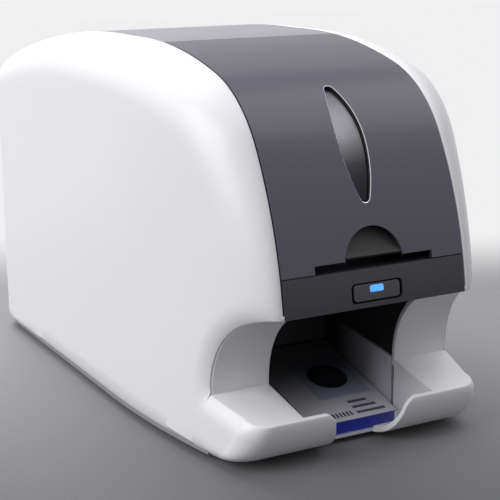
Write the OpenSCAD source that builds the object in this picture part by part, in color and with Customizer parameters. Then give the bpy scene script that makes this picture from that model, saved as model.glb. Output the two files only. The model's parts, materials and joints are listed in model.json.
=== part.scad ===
// Desktop id card printer: white side shells, a dark band down the middle, and the machinery inside.
// The Y sizes in the modules run from the front edge of the body (0) towards the back.

/* [Body] */
// Length from the front bar to the back face
body_l = 338; // [332:1:346]
// Width over the side shells
body_w = 173.6; // [170:0.2:178]
// Height above the table
body_h = 205; // [203:0.5:208]
// Wall of shells and covers
wall = 2.6; // [2.2:0.1:3]
// Width of the dark band
band_w = 106.8; // [106:0.2:107.6]
// Gap between the band and a side shell
band_gap = 0.5; // [0.3:0.1:0.7]
// How far the sides drop away in the rounding under the top
edge_drop = 24; // [20:0.5:25]
// Height of the rubber feet
foot_h = 3.2; // [3:0.1:3.4]

/* [Front] */
// Height of the seam under the front cover
seam_z = 100.5; // [100:0.1:101]
// Underside of the front bar
bar_z = 81.5; // [81:0.1:82]
// Radius of the leaning front face
front_r = 205; // [200:1:210]
// Lean of the front face at the bar, in degrees
front_lean = 6.5; // [6:0.1:7]
// Radius of the brow between front and top
brow_r = 70; // [65:1:75]
// Radius of the mouth's rounded ceiling
mouth_r = 43; // [42:0.2:43.4]
// Half width of the card bay
bay_w = 39; // [38.6:0.1:39.4]
// Half width of the card slot in the cover
slot_w = 34.5; // [33:0.1:36]
// Radius of the finger arch over the slot
arch_r = 17; // [15:0.2:18]

/* [Buttons] */
// Width of the power button
button_w = 28; // [25:0.2:30]
// Height of the power button
button_h = 9; // [8:0.1:9.6]
// Gap round a button
button_gap = 0.35; // [0.3:0.01:0.4]
// Length of the lens shaped release button
lens_l = 64.7; // [58:0.1:68]
// Width of the lens shaped release button
lens_w = 15.4; // [13:0.1:17]

/* [Machine] */
// Width of a card
card_w = 54; // [53.6:0.1:54.2]
// Length of a card
card_l = 85.6; // [85:0.1:86]
// Thickness of a card
card_t = 0.76; // [0.7:0.01:0.8]
// Height of the card path
path_z = 102.4; // [102.2:0.05:102.5]
// Half distance between the frame plates
frame_in = 46; // [45.9:0.05:46.1]
// Thickness of a frame plate
frame_t = 1.5; // [1.2:0.05:1.7]
// Radius of the platen roller
platen_r = 7; // [6.6:0.1:7.2]
// Radius of the feed rollers
feed_r = 5; // [4.6:0.1:5.2]
// Radial running clearance of shafts
run_gap = 0.05; // [0.02:0.01:0.1]
// Cards in the hopper
card_count = 30; // [10:1:34]

/* [Hidden] */
$fn = 64;

// Side outline: centres and angles of the arcs that make it, as [y, z] from the front bottom.
top_r = 300;
top_d = 151;
crown_r = 550;
back_d = 186;
back_round = 26;
front_c = [front_r * cos(front_lean), bar_z - front_r * sin(front_lean)];
top_c = [top_d, body_h - top_r];
link = top_c - front_c;
link_l = norm(link);
link_e = link / link_l;
brow_a = (pow(front_r - brow_r, 2) - pow(top_r - brow_r, 2) + link_l * link_l) / (2 * link_l);
brow_h = sqrt(pow(front_r - brow_r, 2) - brow_a * brow_a);
brow_c = front_c + brow_a * link_e + brow_h * [link_e.y, -link_e.x];
brow_a0 = atan2(brow_c.y - front_c.y, front_c.x - brow_c.x);
brow_a1 = atan2(brow_c.y - top_c.y, top_c.x - brow_c.x);
crown_c = [back_d, body_h - crown_r];
crown_a = asin((body_l - back_round - back_d) / (crown_r - back_round));
back_c = [body_l - back_round, crown_c.y + (crown_r - back_round) * cos(crown_a)];

// Sides: half width and the arc that draws them in towards the front.
half_w = body_w / 2;
band_h = band_w / 2;
shell_x = band_h + band_gap;
round_x = shell_x + 0.6;
taper_r = 560;
taper_d = 144;
low = -5;

// Mouth and lower front block.
mouth_c = [-2.5, bar_z - mouth_r];
mouth_back = mouth_c.x + mouth_r;
lip_r = 24.8;
lip_d = 3.5;
lip_c = [lip_d + lip_r, foot_h + lip_r];
tray_a = 11;
tray_z = lip_c.y;
block_back = mouth_back + 0.6;
lip_corner = 8;
block_step = 0.4;
notch_top = 20.5;
notch_low = 16;
notch_r = 8.5;

// Hinges of the two lids, and the barrel edges that clear them.
hinge = [117, body_h - 13];
barrel_r = 15.2;
lid_hinge = [298, body_h - 23.5];
lid_barrel_r = 14;
seam_gap = 0.5;
seat_gap = 0.3;
pin_r = 2.5;
ear_r = 5;

// Base and frames.
base_z = foot_h;
base_t = 2.4;
base_top = base_z + base_t;
frame_out = frame_in + frame_t;
frame_d0 = 50;
frame_d1 = 322;
deck_z = 112;

// Card bay.
bin_a = 15;
bin_d0 = 26.5;
bin_z0 = foot_h + 1.8;
bin_d1 = 112;
bin_t = 1.6;
bin_clear = 0.3;

// Rollers, pulleys and the belt.
feed_z = path_z - feed_r;
front_d = 34;
rear_d = 118;
head_d = 76;
platen_z = path_z - platen_r;
pulley_r = 7;
platen_pulley_r = pulley_r + feed_z - platen_z;
carriage_d = 168;
motor_d = 140;
motor_z = 62;
pulley_x0 = frame_out + 2.5;
pulley_x1 = pulley_x0 + 6;
pinch_r = 4;
pinch_z = path_z + card_t + 0.14 + pinch_r;
belt_t = 1;
belt_gap = 0.1;

// Ribbon and head.
supply_p = [98, 141];
takeup_p = [50, 139];
supply_r = 15;
takeup_r = 11;
spool_x = 30;
plate_x = 35.9;
plate_t = 2;
head_x = 29;
bracket_x = plate_x + plate_t + 0.3;

// Lens shaped button.
lens_c = [30.7, 158.3];
lens_a = 34.7;
lens_r = (pow(lens_l / 2, 2) + pow(lens_w / 2, 2)) / lens_w;
lens_sink = 3;
well_wall = 4;

// Latch, power button and boards.
latch_p = [18, 122];
latch_r = 2;
button_z = 88.9;
board_d = 14;
hopper_d = 214;
hopper_wall = 2;
stack_d = hopper_d + hopper_wall + 1;
pick_r = 9;
pick_d = 240;
tilt = 18;
chute_x = frame_in - 0.2;
panel_in = body_l - wall;
board_z = base_top + 6.4;
board_t = 1.6;

white = "#ececef";
charcoal = "#4a4850";
slate = "#8e8d94";
black = "#1c1c1f";
steel = "#b9bcc0";
rubber = "#2b2b2d";
green = "#1f6a45";

// Moves the front-based sizes to the part's own origin.
module place() translate([0, -body_l / 2, 0]) children();

// Extrudes a side view, drawn as [y, z], along X.
module along_x(x0, x1) rotate([90, 0, 90]) translate([0, 0, x0]) linear_extrude(x1 - x0) children();

// The same piece on both sides.
module both() { children(); mirror([1, 0, 0]) children(); }

// A cylinder along X at [y, z].
module axle(p, r, x0, x1) translate([x0, p.x, p.y]) rotate([0, 90, 0]) cylinder(r = r, h = x1 - x0);

// A box given by its two corners.
module box(a, b) translate(a) cube(b - a);

// Side view of the whole body, drawn in by inset.
module side_area(inset) {
    difference() {
        intersection() {
            translate([inset, low]) square([body_l - 2 * inset, body_h - inset - low]);
            translate(front_c) circle(front_r - inset, $fn = 256);
            union() {
                translate(top_c) circle(top_r - inset, $fn = 128);
                translate([top_d, low]) square([body_l, body_h * 2]);
            }
            union() {
                translate(crown_c) circle(crown_r - inset, $fn = 128);
                translate([-body_l, low]) square([back_d + body_l, body_h * 2]);
            }
        }
        difference() {
            polygon([brow_c, brow_c + 2 * brow_r * [-cos(brow_a0), sin(brow_a0)],
                brow_c + 3 * brow_r * [-cos((brow_a0 + brow_a1) / 2), sin((brow_a0 + brow_a1) / 2)],
                brow_c + 2 * brow_r * [-cos(brow_a1), sin(brow_a1)]]);
            translate(brow_c) circle(brow_r - inset, $fn = 96);
        }
        difference() {
            polygon([back_c, back_c + 2 * back_round * [sin(crown_a), cos(crown_a)],
                back_c + [3 * back_round, 3 * back_round], back_c + [2 * back_round, 0]]);
            translate(back_c) circle(back_round - inset);
        }
    }
}

// Stations along the side outline, each [arc centre, arc radius, angle from the front].
front_a0 = asin((bar_z - 8 - front_c.y) / front_r);
function lerp(a, b, t) = a + (b - a) * t;
function run(c, r, a, b, i0, n) = [for (i = [i0:n]) [c, r, lerp(a, b, i / n)]];
stations = concat(run(front_c, front_r, front_a0, brow_a0, 0, 6), run(brow_c, brow_r, brow_a0, brow_a1, 1, 9),
    run(top_c, top_r, brow_a1, 90, 1, 4), run(crown_c, crown_r, 90, 90 + crown_a, 0, 5),
    run(back_c, back_round, 90 + crown_a, 180, 1, 8));
function at(s, inset) = s[0] + (s[1] - inset) * [-cos(s[2]), sin(s[2])];
function drawn_in(d) = taper_r - sqrt(pow(taper_r, 2) - pow(max(0, taper_d - d), 2));
function side_x(p) = half_w - drawn_in(p.x) * (0.98 + 0.3 * p.y / body_h);
ring_steps = 6;
function ring_a(j) = 90 * (j - 1) / ring_steps;
function outline(inset) = let (p = [for (s = stations) at(s, inset)])
    concat([[p[0].x, low]], p, [[p[len(p) - 1].x, low]]);

// One side of the body as a solid: flat to round_x, then an elliptical rounding into the drawn-in side.
module side_solid(t, x_in) {
    n = len(stations) + 2;
    rings = [for (j = [0:ring_steps + 1]) let (a = max(0, ring_a(j)), q = outline(edge_drop - (edge_drop - t) * cos(a)))
        [for (p = q) [j == 0 ? x_in : round_x + (side_x(p) - t - round_x) * sin(a), p.x, p.y]]];
    last = ring_steps + 1;
    feet = [for (i = [2:n - 3]) let (p = rings[last][i]) [side_x([p.y, low]) - t, p.y, low]];
    pts = concat([for (r = rings) each r], feet);
    foot = function (i) i == 1 ? last * n : i == n - 2 ? last * n + n - 1 : (last + 1) * n + i - 2;
    skin = [for (j = [0:last - 1], i = [0:n - 2], k = [0, 1]) let (a = j * n + i)
        k == 0 ? [a, a + 1, a + n + 1] : [a, a + n + 1, a + n]];
    side = [for (i = [1:n - 3], k = [0, 1]) let (a = last * n + i)
        k == 0 ? [a, a + 1, foot(i + 1)] : [a, foot(i + 1), foot(i)]];
    caps = [[for (i = [n - 1:-1:0]) i],
        concat([for (j = [0:last]) j * n], [for (i = [2:n - 3]) foot(i)], [for (j = [last:-1:0]) j * n + n - 1])];
    polyhedron(points = pts, faces = concat(skin, side, caps), convexity = 8);
}

// Side view of the mouth under the bar, grown by g.
module mouth_area(g) {
    translate(mouth_c) circle(mouth_r + g, $fn = 96);
    translate([-60, low - 10]) square([60 + mouth_back + g, mouth_c.y - low + 10]);
}

// Side view of the lower front block: rounded lip, sloping tray top.
module block_area(inset) {
    intersection() {
        polygon([[-20, tray_z - (lip_d + 20) * tan(tray_a) - inset], [-20, low], [block_back + 9, low],
            [block_back + 9, tray_z + (block_back + 9 - lip_d) * tan(tray_a) - inset]]);
        union() {
            translate(lip_c) circle(lip_r - inset);
            translate([lip_c.x, foot_h + inset]) square([block_back - inset - lip_c.x, 60]);
            translate([lip_d + inset, lip_c.y]) square([block_back - inset - lip_d, 40]);
        }
    }
}

// Plan of the lower front block on one side.
module block_plan(inset) {
    corner_x = side_x([lip_d + lip_corner, 0]) - lip_corner;
    difference() {
        intersection() {
            translate([0, lip_d + inset]) square([half_w, block_back - lip_d]);
            translate([half_w - taper_r, taper_d]) circle(taper_r - block_step - inset, $fn = 128);
        }
        difference() {
            translate([corner_x, -20]) square([40, 20 + lip_d + lip_corner]);
            translate([corner_x, lip_d + lip_corner]) circle(lip_corner - inset);
        }
    }
}

module block(inset) {
    intersection() {
        linear_extrude(60) block_plan(inset);
        along_x(0, half_w) block_area(inset);
    }
}

// Front view of the notch in the lip, on one side.
module notch_area() {
    corner_z = tray_z - notch_r + 0.8;
    polygon([[-1, -9], [notch_low, -9], [notch_top, corner_z], [notch_top, 60], [-1, 60]]);
    difference() {
        translate([notch_top - 0.01, corner_z]) square([notch_r, 60]);
        translate([notch_top + notch_r, corner_z]) circle(notch_r);
    }
}

// Lower front of a side shell: cheek, lip and the bay's front wall.
module cheek() {
    difference() {
        block(0);
        difference() {
            block(wall);
            box([bay_w, -9, -9], [bay_w + wall, 99, 99]);
        }
        box([-1, lip_d + wall, lip_c.y - 4], [bay_w, 99, 99]);
        box([-1, lip_c.x - 6, -9], [bay_w, 99, 99]);
        translate([0, 30, 0]) rotate([90, 0, 0]) linear_extrude(60) notch_area();
        box([-1, -9, -9], [notch_low, 99, 99]);
    }
}

// Wall behind and above the mouth, from the bay's edge to the shell.
module mouth_wall() {
    difference() {
        intersection() {
            along_x(bay_w, half_w) difference() { mouth_area(wall); mouth_area(0); }
            side_solid(0.4, bay_w - 2);
            box([0, 0, tray_z + 3], [half_w, 60, 99]);
        }
        box([0, -9, bar_z - 0.3], [shell_x, 99, 99]);
    }
}

module side_shell() {
    color(white) place() {
        difference() {
            side_solid(0, shell_x);
            side_solid(wall, shell_x - 2);
            along_x(0, half_w + 9) mouth_area(0);
            box([-9, -9, low - 9], [half_w + 9, body_l + 9, foot_h]);
        }
        mouth_wall();
        cheek();
    }
}

module right_shell() side_shell();
module left_shell() mirror([1, 0, 0]) side_shell();

// Side view of a rib inside the bar, from the front skin back to the given depth.
module rib_area(depth) {
    intersection() {
        side_area(wall / 2);
        translate([0, bar_z + 1]) square([depth, seam_z - bar_z - 2.5]);
    }
}

// Bar under the cover: front skin, shelf, floor, button hole, board posts and latch strikes.
module front_bar() {
    strike_x = 37.5;
    rib_x = 42;
    color(charcoal) place() difference() {
        union() {
            along_x(-band_h, band_h) difference() {
                intersection() {
                    side_area(0);
                    translate([-1, bar_z]) square([23, seam_z - bar_z]);
                }
                intersection() {
                    side_area(wall);
                    translate([-1, bar_z + wall]) square([30, seam_z - bar_z - 2 * wall]);
                }
            }
            both() along_x(rib_x, rib_x + 2) rib_area(24);
            both() box([strike_x, 19, 96.1], [rib_x + 1, 24, seam_z - 1.5]);
            both() along_x(frame_out + 0.3, frame_out + 2.5) rib_area(30);
            both() axle_y([20, button_z + 3], 2.5, 2, board_d);
        }
        button_hole(button_gap);
        both() box([36.5, 5.6, seam_z - wall - 1], [rib_x, 18.9, seam_z + 1]);
        both() box([frame_in - 0.3, 13.7, bar_z + 3.5], [frame_out + 0.3, 40, seam_z + 1]);
    }
}

// A cylinder along Y at [x, z].
module axle_y(p, r, y0, y1) translate([p.x, y0, p.y]) rotate([-90, 0, 0]) cylinder(r = r, h = y1 - y0);

// Rounded rectangle prism through the bar, grown by g.
module button_hole(g) {
    r = 2 + g;
    w = button_w / 2 + g - r;
    h = button_h / 2 + g - r;
    translate([0, -9, button_z]) rotate([-90, 0, 0]) linear_extrude(9 + 9.5) {
        square([2 * (w + r), 2 * h], center = true);
        square([2 * w, 2 * (h + r)], center = true);
        for (sx = [-1, 1], sy = [-1, 1]) translate([sx * w, sy * h]) circle(r);
    }
}

// Plan of the base, following the shells' inner side with a seat clearance.
module base_plan() {
    t = wall + seat_gap;
    y0 = block_back + seat_gap;
    back_y = body_l - edge_drop;
    sides = [for (d = [y0:12:back_y]) [side_x([d, foot_h]) - t, d]];
    corner = [for (j = [ring_steps + 1:-1:1]) [round_x + (half_w - t - round_x) * sin(ring_a(j)),
        body_l - edge_drop + (edge_drop - t) * cos(ring_a(j))]];
    half = concat(sides, corner);
    polygon(concat(half, [for (i = [len(half) - 1:-1:0]) [-half[i].x, half[i].y]]));
}

module base_pan() {
    color(slate) place() difference() {
        translate([0, 0, base_z]) linear_extrude(base_t) base_plan();
        for (p = screw_spots) translate([p.x, p.y, base_z - 1]) cylinder(r = 1.6, h = base_t + 2);
    }
}

foot_spots = [[-58, 62], [58, 62], [-62, 300], [62, 300]];
screw_spots = [[-68, 90], [68, 90], [-72, 200], [72, 200], [-30, 318], [30, 318]];

module rubber_feet() {
    color(rubber) place() for (p = foot_spots) translate([p.x, p.y, 0]) cylinder(r = 8, h = foot_h);
}

module base_screws() {
    color(steel) place() for (p = screw_spots) translate([p.x, p.y, 0]) {
        translate([0, 0, base_z - 1.6]) cylinder(r = 3, h = 1.6);
        translate([0, 0, base_z - 0.1]) cylinder(r = 1.5, h = base_t + 0.1);
    }
}

// Back skin with the sockets' openings, the vents and the lock slot.
module rear_panel() {
    color(slate) place() difference() {
        along_x(-band_h, band_h) difference() {
            side_area(0);
            side_area(wall);
            translate([-9, low - 1]) square([body_l + 99, foot_h - low + 1]);
            translate([-9, low - 1]) square([lid_hinge.x + 9, body_h * 2]);
            translate(lid_hinge) circle(lid_barrel_r + seam_gap);
        }
        box([usb_x - 6.3, panel_in - 9, board_z + board_t - 0.3], [usb_x + 6.3, body_l + 9, board_z + board_t + 11.3]);
        box([net_x - 8.3, panel_in - 9, board_z + board_t - 0.3], [net_x + 8.3, body_l + 9, board_z + board_t + 13.8]);
        box([dc_x - 7.3, panel_in - 9, board_z + board_t - 0.3], [dc_x + 7.3, body_l + 9, board_z + board_t + 12.3]);
        box([rocker_x - 10.8, panel_in - 9, rocker_z - 6.8], [rocker_x + 10.8, body_l + 9, rocker_z + 6.8]);
        for (i = [0:7]) box([-28 + i * 8 - 1.5, panel_in - 9, 90], [-28 + i * 8 + 1.5, body_l + 9, 125]);
        box([42, panel_in - 9, 60], [49, body_l + 9, 63]);
    }
}

// Side view of a frame plate: deck, front arm and the two hinge towers.
module frame_area() {
    difference() {
        union() {
            translate([frame_d0, base_top]) square([frame_d1 - frame_d0, deck_z - base_top]);
            translate([14, bar_z + 4]) square([frame_d0 - 12, deck_z - bar_z - 4]);
            polygon([[82, deck_z - 1], [126, deck_z - 1], hinge + [3.5, 0], hinge + [-3.5, 0]]);
            polygon([[262, deck_z - 1], [frame_d1, deck_z - 1], [frame_d1, 140], lid_hinge + [3.5, 0],
                lid_hinge + [-3.5, 0]]);
            translate(hinge) circle(ear_r);
            translate(lid_hinge) circle(ear_r);
        }
        translate(hinge) circle(pin_r);
        translate(lid_hinge) circle(pin_r);
        translate([head_d, platen_z]) circle(3 + run_gap);
        translate([front_d, feed_z]) circle(2.5 + run_gap);
        translate([rear_d, feed_z]) circle(2.5 + run_gap);
        translate([carriage_d, feed_z]) circle(2.5 + run_gap);
        translate([front_d, pinch_z]) circle(2 + run_gap);
        translate([rear_d, pinch_z]) circle(2 + run_gap);
        translate([pick_d, path_z - 0.1 - pick_r]) circle(3 + run_gap);
        translate([motor_d, motor_z]) circle(2.5 + run_gap);
        translate([205, 35]) square([90, 30]);
        translate([70, 22]) square([50, 40]);
    }
}

module frame_right() color(steel) place() along_x(frame_in, frame_out) frame_area();
module frame_left() color(steel) place() along_x(-frame_out, -frame_in) frame_area();

rod_spots = [[128, 26], [212, 74], [314, 40], [314, 128]];
module tie_rods() {
    color(steel) place() for (p = rod_spots) axle(p, 3, -frame_in, frame_in);
}

module hinge_pins() {
    color(steel) place() both() for (p = [hinge, lid_hinge]) {
        axle(p, pin_r, 42.3, frame_out + 0.2);
        axle(p, 4, frame_out, frame_out + 1.6);
    }
}

// Sloping bin floor with its side walls, back wall and front stops.
function bin_z(d) = bin_z0 + (d - bin_d0) * tan(bin_a);
module output_bin() {
    wall_d0 = mouth_back + wall + seat_gap;
    bx = bay_w + bin_t;
    color("#c9c9d0") place() {
        along_x(-bay_w + bin_clear, bay_w - bin_clear)
            polygon([[bin_d0, bin_z(bin_d0)], [bin_d1, bin_z(bin_d1)], [bin_d1, bin_z(bin_d1) - bin_t],
                [bin_d0, bin_z(bin_d0) - bin_t]]);
        difference() {
            both() along_x(bay_w - bin_clear, bx) polygon([[wall_d0, base_top], [bin_d1 + bin_t, base_top],
                [bin_d1 + bin_t, 44], [wall_d0, 36]]);
            box([-bay_w, 0, 0], [bay_w, bin_d1, 99]);
        }
        both() along_x(bay_w - bin_clear - 0.01, bay_w + 0.01) polygon([[wall_d0, bin_z(wall_d0) - bin_t],
            [wall_d0, bin_z(wall_d0)], [bin_d1, bin_z(bin_d1)], [bin_d1, bin_z(bin_d1) - bin_t]]);
        box([-bx, bin_d1 - 0.01, base_top], [bx, bin_d1 + bin_t, 80]);
        both() box([30, bin_d0 - 1.4, bin_z0 - bin_t], [36, bin_d0 + 0.2, bin_z0 + 7]);
    }
}

// Chute that turns cards from the tilted carriage down into the bin.
function chute_z(d) = feed_z + feed_r / cos(tilt) - (carriage_d - d) * tan(tilt);
module exit_guide() {
    hood_x = bay_w + bin_t + seat_gap;
    hood_z = bar_z + 1.6;
    color(black) place() {
        along_x(-chute_x, chute_x) polygon([[114.2, chute_z(114.2) - 1.2], [126, chute_z(126) - 1.2],
            [126, chute_z(126) - 2.8], [114.2, chute_z(114.2) - 2.8]]);
        along_x(-chute_x, chute_x) polygon([[88, chute_z(88) + 2.4], [124, chute_z(124) + 2.4],
            [124, chute_z(124) + 3.9], [88, chute_z(88) + 3.9]]);
        both() along_x(chute_x - 2, chute_x) polygon([[112, chute_z(112) - 2.6], [124, chute_z(124) - 2.6],
            [124, chute_z(124) + 3.8], [112, chute_z(112) + 3.8]]);
        along_x(-hood_x - bin_t, hood_x + bin_t) polygon([[25, hood_z], [89, chute_z(89) + 2.5],
            [89, chute_z(89) + 3.8], [25, hood_z + 1.5]]);
        both() along_x(hood_x, hood_x + bin_t) polygon([[48, 34], [110, 34], [110, chute_z(110) + 3],
            [89, chute_z(89) + 3], [34, hood_z + 0.8], [34, 76]]);
    }
}

// Outline of the release button, two arcs that meet in points, drawn in by g.
function lens_side(g) = let (r = lens_r - g, c = lens_r - lens_w / 2, a = acos(c / r))
    [for (i = [-12:12]) [r * cos(a * i / 12) - c, r * sin(a * i / 12)]];
module lens_prism(g) {
    right = lens_side(g);
    translate([0, lens_c.x, lens_c.y]) rotate([90 - lens_a, 0, 0]) linear_extrude(44, center = true)
        polygon(concat(right, [for (i = [1:len(right) - 2]) -right[i]]));
}

// Skin between two insets of the side outline, over the full band.
module band_skin(a, b, x0, x1) along_x(x0, x1) difference() { side_area(a); side_area(b); }

// Finger arch and card slot in front view.
module arch_area(r) {
    intersection() {
        translate([0, seam_z + 3]) circle(r);
        translate([-40, seam_z]) square([80, 40]);
    }
}
module along_y(y0, y1) translate([0, y1, 0]) rotate([90, 0, 0]) linear_extrude(y1 - y0) children();

// Front cover: curved skin with the lens well, the finger arch, the card slot and hinge arms.
module top_cover() {
    arch_back = 16;
    color(charcoal) place() difference() {
        union() {
            difference() {
                along_x(-band_h, band_h) difference() {
                    side_area(0);
                    side_area(wall);
                    translate([-9, low - 9]) square([body_l + 99, seam_z + seam_gap - low + 9]);
                    translate([hinge.x, low]) difference() {
                        square([body_l, body_h * 2]);
                        translate([0, hinge.y - low]) circle(barrel_r);
                    }
                }
                lens_prism(0);
                along_y(-9, 20) arch_area(arch_r);
                box([-slot_w, -9, seam_z], [slot_w, 20, seam_z + 4.5]);
            }
            intersection() {
                difference() { lens_prism(-1.6); lens_prism(0); }
                along_x(-20, 20) difference() { side_area(wall / 2); side_area(lens_sink + well_wall); }
            }
            intersection() {
                difference() {
                    along_y(0, arch_back) arch_area(arch_r + 1.6);
                    along_y(-1, arch_back - 1.6) arch_area(arch_r);
                }
                along_x(-30, 30) side_area(wall / 2);
                box([-30, 0, seam_z + 4.6], [30, 40, 140]);
            }
            intersection() {
                along_y(0, arch_back) arch_area(arch_r + 1);
                along_x(-30, 30) difference() {
                    polygon([[4, seam_z + 6.2], [arch_back, seam_z + 4.6], [arch_back, seam_z + 19], [13, seam_z + 15]]);
                    translate([-9, 0]) square([12, 60]);
                }
            }
            both() along_x(42.5, 45) difference() {
                intersection() {
                    side_area(wall - 0.2);
                    union() {
                        polygon([hinge + [-26, 40], hinge + [2, 40], hinge + [ear_r, 0], hinge + [-3, -4]]);
                        translate(hinge) circle(ear_r);
                    }
                }
                translate(hinge) circle(pin_r + run_gap);
            }
            both() along_x(42, 44) difference() {
                intersection() {
                    side_area(wall - 0.2);
                    union() {
                        translate([0, latch_p.y - 4]) square([latch_p.x, 8]);
                        translate(latch_p) circle(4);
                    }
                }
                translate(latch_p) circle(latch_r + run_gap);
            }
        }
    }
}

// Two side plates and a cross bar that hang the head and the ribbon from the cover.
module head_bracket() {
    color(steel) place() {
        both() along_x(bracket_x, bracket_x + 2) intersection() {
            side_area(wall + 0.01);
            translate([head_d - 8, 113]) square([18, body_h]);
        }
        box([-bracket_x - 0.1, head_d - 6, 162], [bracket_x + 0.1, head_d + 8, 164]);
    }
}

module heat_sink() {
    color("#a8abb0") place() {
        box([-bracket_x, head_d - 6, 113], [bracket_x, head_d + 6, 117]);
        for (i = [-7:7]) box([i * 4.4 - 0.8, head_d - 6, 117 - 0.01], [i * 4.4 + 0.8, head_d + 6, 128]);
    }
}

module print_head() {
    color("#6d5a3c") place() along_x(-head_x, head_x)
        polygon([[head_d - 2, path_z + 1.3], [head_d + 2, path_z + 1.3], [head_d + 5, 108], [head_d + 5, 113],
            [head_d - 5, 113], [head_d - 5, 108]]);
}

// Side plates that carry the two ribbon spools.
module ribbon_frame() {
    color("#3c5c86") place() {
        both() along_x(plate_x, plate_x + plate_t) difference() {
            union() {
                translate(supply_p) circle(9);
                translate(takeup_p) circle(9);
                translate([takeup_p.x, 133]) square([supply_p.x - takeup_p.x, 13]);
            }
            translate(supply_p) circle(3 + run_gap);
            translate(takeup_p) circle(3 + run_gap);
        }
        box([-plate_x - 0.1, 70, 142], [plate_x + 0.1, 80, 146]);
    }
}

module ribbon_motor() {
    color(black) place() {
        axle(takeup_p, 9, plate_x + plate_t + 0.2, 44.6);
        axle([takeup_p.x, takeup_p.y], 6, 44.5, 45.2);
    }
}

module ribbon_film() {
    t = 0.16;
    z = path_z + 0.98;
    a = supply_p + [-2, -supply_r - 0.4];
    b = takeup_p + [2, -takeup_r - 0.4];
    color("#b3862e") place() along_x(-27.5, 27.5)
        polygon([a, [head_d + 3.2, z], [head_d - 3.2, z], b, b + [0, t * 1.6], [head_d - 3.1, z + t],
            [head_d + 3.1, z + t], a + [0, t * 1.6]]);
}

module spool(p, r) {
    axle(p, r, -spool_x, spool_x);
    both() axle(p, 8, spool_x - 0.01, spool_x + 3);
    both() axle(p, 3, spool_x, plate_x + plate_t);
}
module supply_spool() color("#c4932f") place() spool(supply_p, supply_r);
module takeup_spool() color("#7b5f35") place() spool(takeup_p, takeup_r);

// Lens shaped push button, sunk in its well, with a stem behind it.
module release_button() {
    color("#b4b6bb") place() {
        intersection() {
            lens_prism(button_gap);
            along_x(-20, 20) difference() { side_area(lens_sink); side_area(lens_sink + 2.6); }
        }
        intersection() {
            translate([0, lens_c.x, lens_c.y]) rotate([-lens_a, 0, 0])
                translate([-2.5, -20, -18]) cube([5, 40, 6]);
            along_x(-20, 20) difference() { side_area(lens_sink + 2.5); side_area(lens_sink + 7); }
        }
    }
}

// Latch shaft with two hooks that reach under the bar's strikes and a paddle behind the button.
module latch_lever() {
    color(black) place() {
        axle(latch_p, latch_r, -43.8, 43.8);
        both() along_x(38, 41) {
            translate([latch_p.x - 2, 92]) square([2.6, latch_p.y - 92]);
            translate([latch_p.x - 2, 92]) square([4.2, 2.4]);
        }
        along_x(-4, 4) polygon([latch_p + [-1.6, 0], latch_p + [1.6, 0], [33.4, 146.2], [31.6, 147]]);
    }
}

// Lid over the card hopper.
module rear_lid() {
    color(slate) place() {
        along_x(-band_h, band_h) difference() {
            side_area(0);
            side_area(wall);
            translate([-9, low - 9]) square([body_l + 99, lid_hinge.y - low]);
            translate([-9, low]) square([hinge.x + 9, body_h * 2]);
            translate(hinge) circle(barrel_r + seam_gap);
            translate([lid_hinge.x, low]) difference() {
                square([body_l, body_h * 2]);
                translate([0, lid_hinge.y - low]) circle(lid_barrel_r);
            }
        }
        both() along_x(42.5, 45) difference() {
            intersection() {
                side_area(wall - 0.2);
                union() {
                    polygon([lid_hinge + [-26, 40], lid_hinge + [2, 40], lid_hinge + [ear_r, 0],
                        lid_hinge + [-3, -4]]);
                    translate(lid_hinge) circle(ear_r);
                }
            }
            translate(lid_hinge) circle(pin_r + run_gap);
        }
    }
}

// Power button: curved face in the bar's hole and a stem to the switch.
module power_button() {
    color("#3f3e46") place() difference() {
        union() {
            intersection() {
                button_hole(0);
                along_x(-20, 20) difference() { side_area(0.1); side_area(3); }
            }
            box([-12, 3.6, button_z - 3.6], [12, 5.4, button_z + 3.6]);
            box([-2, 5, button_z - 2], [2, 9.4, button_z + 2]);
        }
        light_box(0.1);
    }
}

module light_box(g) box([-4 - g, -9, button_z - 0.2 - g], [4 + g, 3.2 + g, button_z + 3.2 + g]);

module status_light() {
    color("#4f8dff") place() intersection() {
        light_box(0);
        along_x(-20, 20) side_area(0.05);
    }
}

module button_board() {
    color(green) place() {
        box([-24, board_d, bar_z + 3.1], [24, board_d + board_t, seam_z - wall - 0.4]);
        box([-3, board_d - 3.2, button_z - 3], [3, board_d, button_z + 3]);
    }
}

// A roller with its shaft and the pulley on the right end.
module roller(p, r, x, shaft_r, pulley) {
    axle(p, r, -x, x);
    axle(p, shaft_r, -frame_out - 0.8, pulley > 0 ? pulley_x1 : frame_out + 0.8);
    if (pulley > 0) axle(p, pulley, pulley_x0, pulley_x1);
}
module platen_roller() color(rubber) place() roller([head_d, platen_z], platen_r, 30, 3, platen_pulley_r);
module front_roller() color(rubber) place() roller([front_d, feed_z], feed_r, 28, 2.5, pulley_r);
module rear_roller() color(rubber) place() roller([rear_d, feed_z], feed_r, 28, 2.5, pulley_r);
module carriage_roller() color(rubber) place() roller([carriage_d, feed_z], feed_r, 28, 2.5, pulley_r);
module front_pinch() color(steel) place() roller([front_d, pinch_z], pinch_r, 20, 2, 0);
module rear_pinch() color(steel) place() roller([rear_d, pinch_z], pinch_r, 20, 2, 0);

// Tilting carriage: two cheeks and a table with a window for its roller.
module carriage() {
    cx = 31.5;
    color("#55585e") place() {
        both() along_x(cx, cx + 2) difference() {
            translate([carriage_d - 39, path_z - 8.4]) square([78, 17.6]);
            translate([carriage_d, feed_z]) circle(2.5 + run_gap);
            translate([carriage_d, pinch_z]) circle(2 + run_gap);
        }
        difference() {
            box([-cx - 0.1, carriage_d - 39, path_z - 2.1], [cx + 0.1, carriage_d + 39, path_z - 0.5]);
            box([-29, carriage_d - 6, path_z - 9], [29, carriage_d + 6, path_z + 9]);
        }
    }
}

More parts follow.
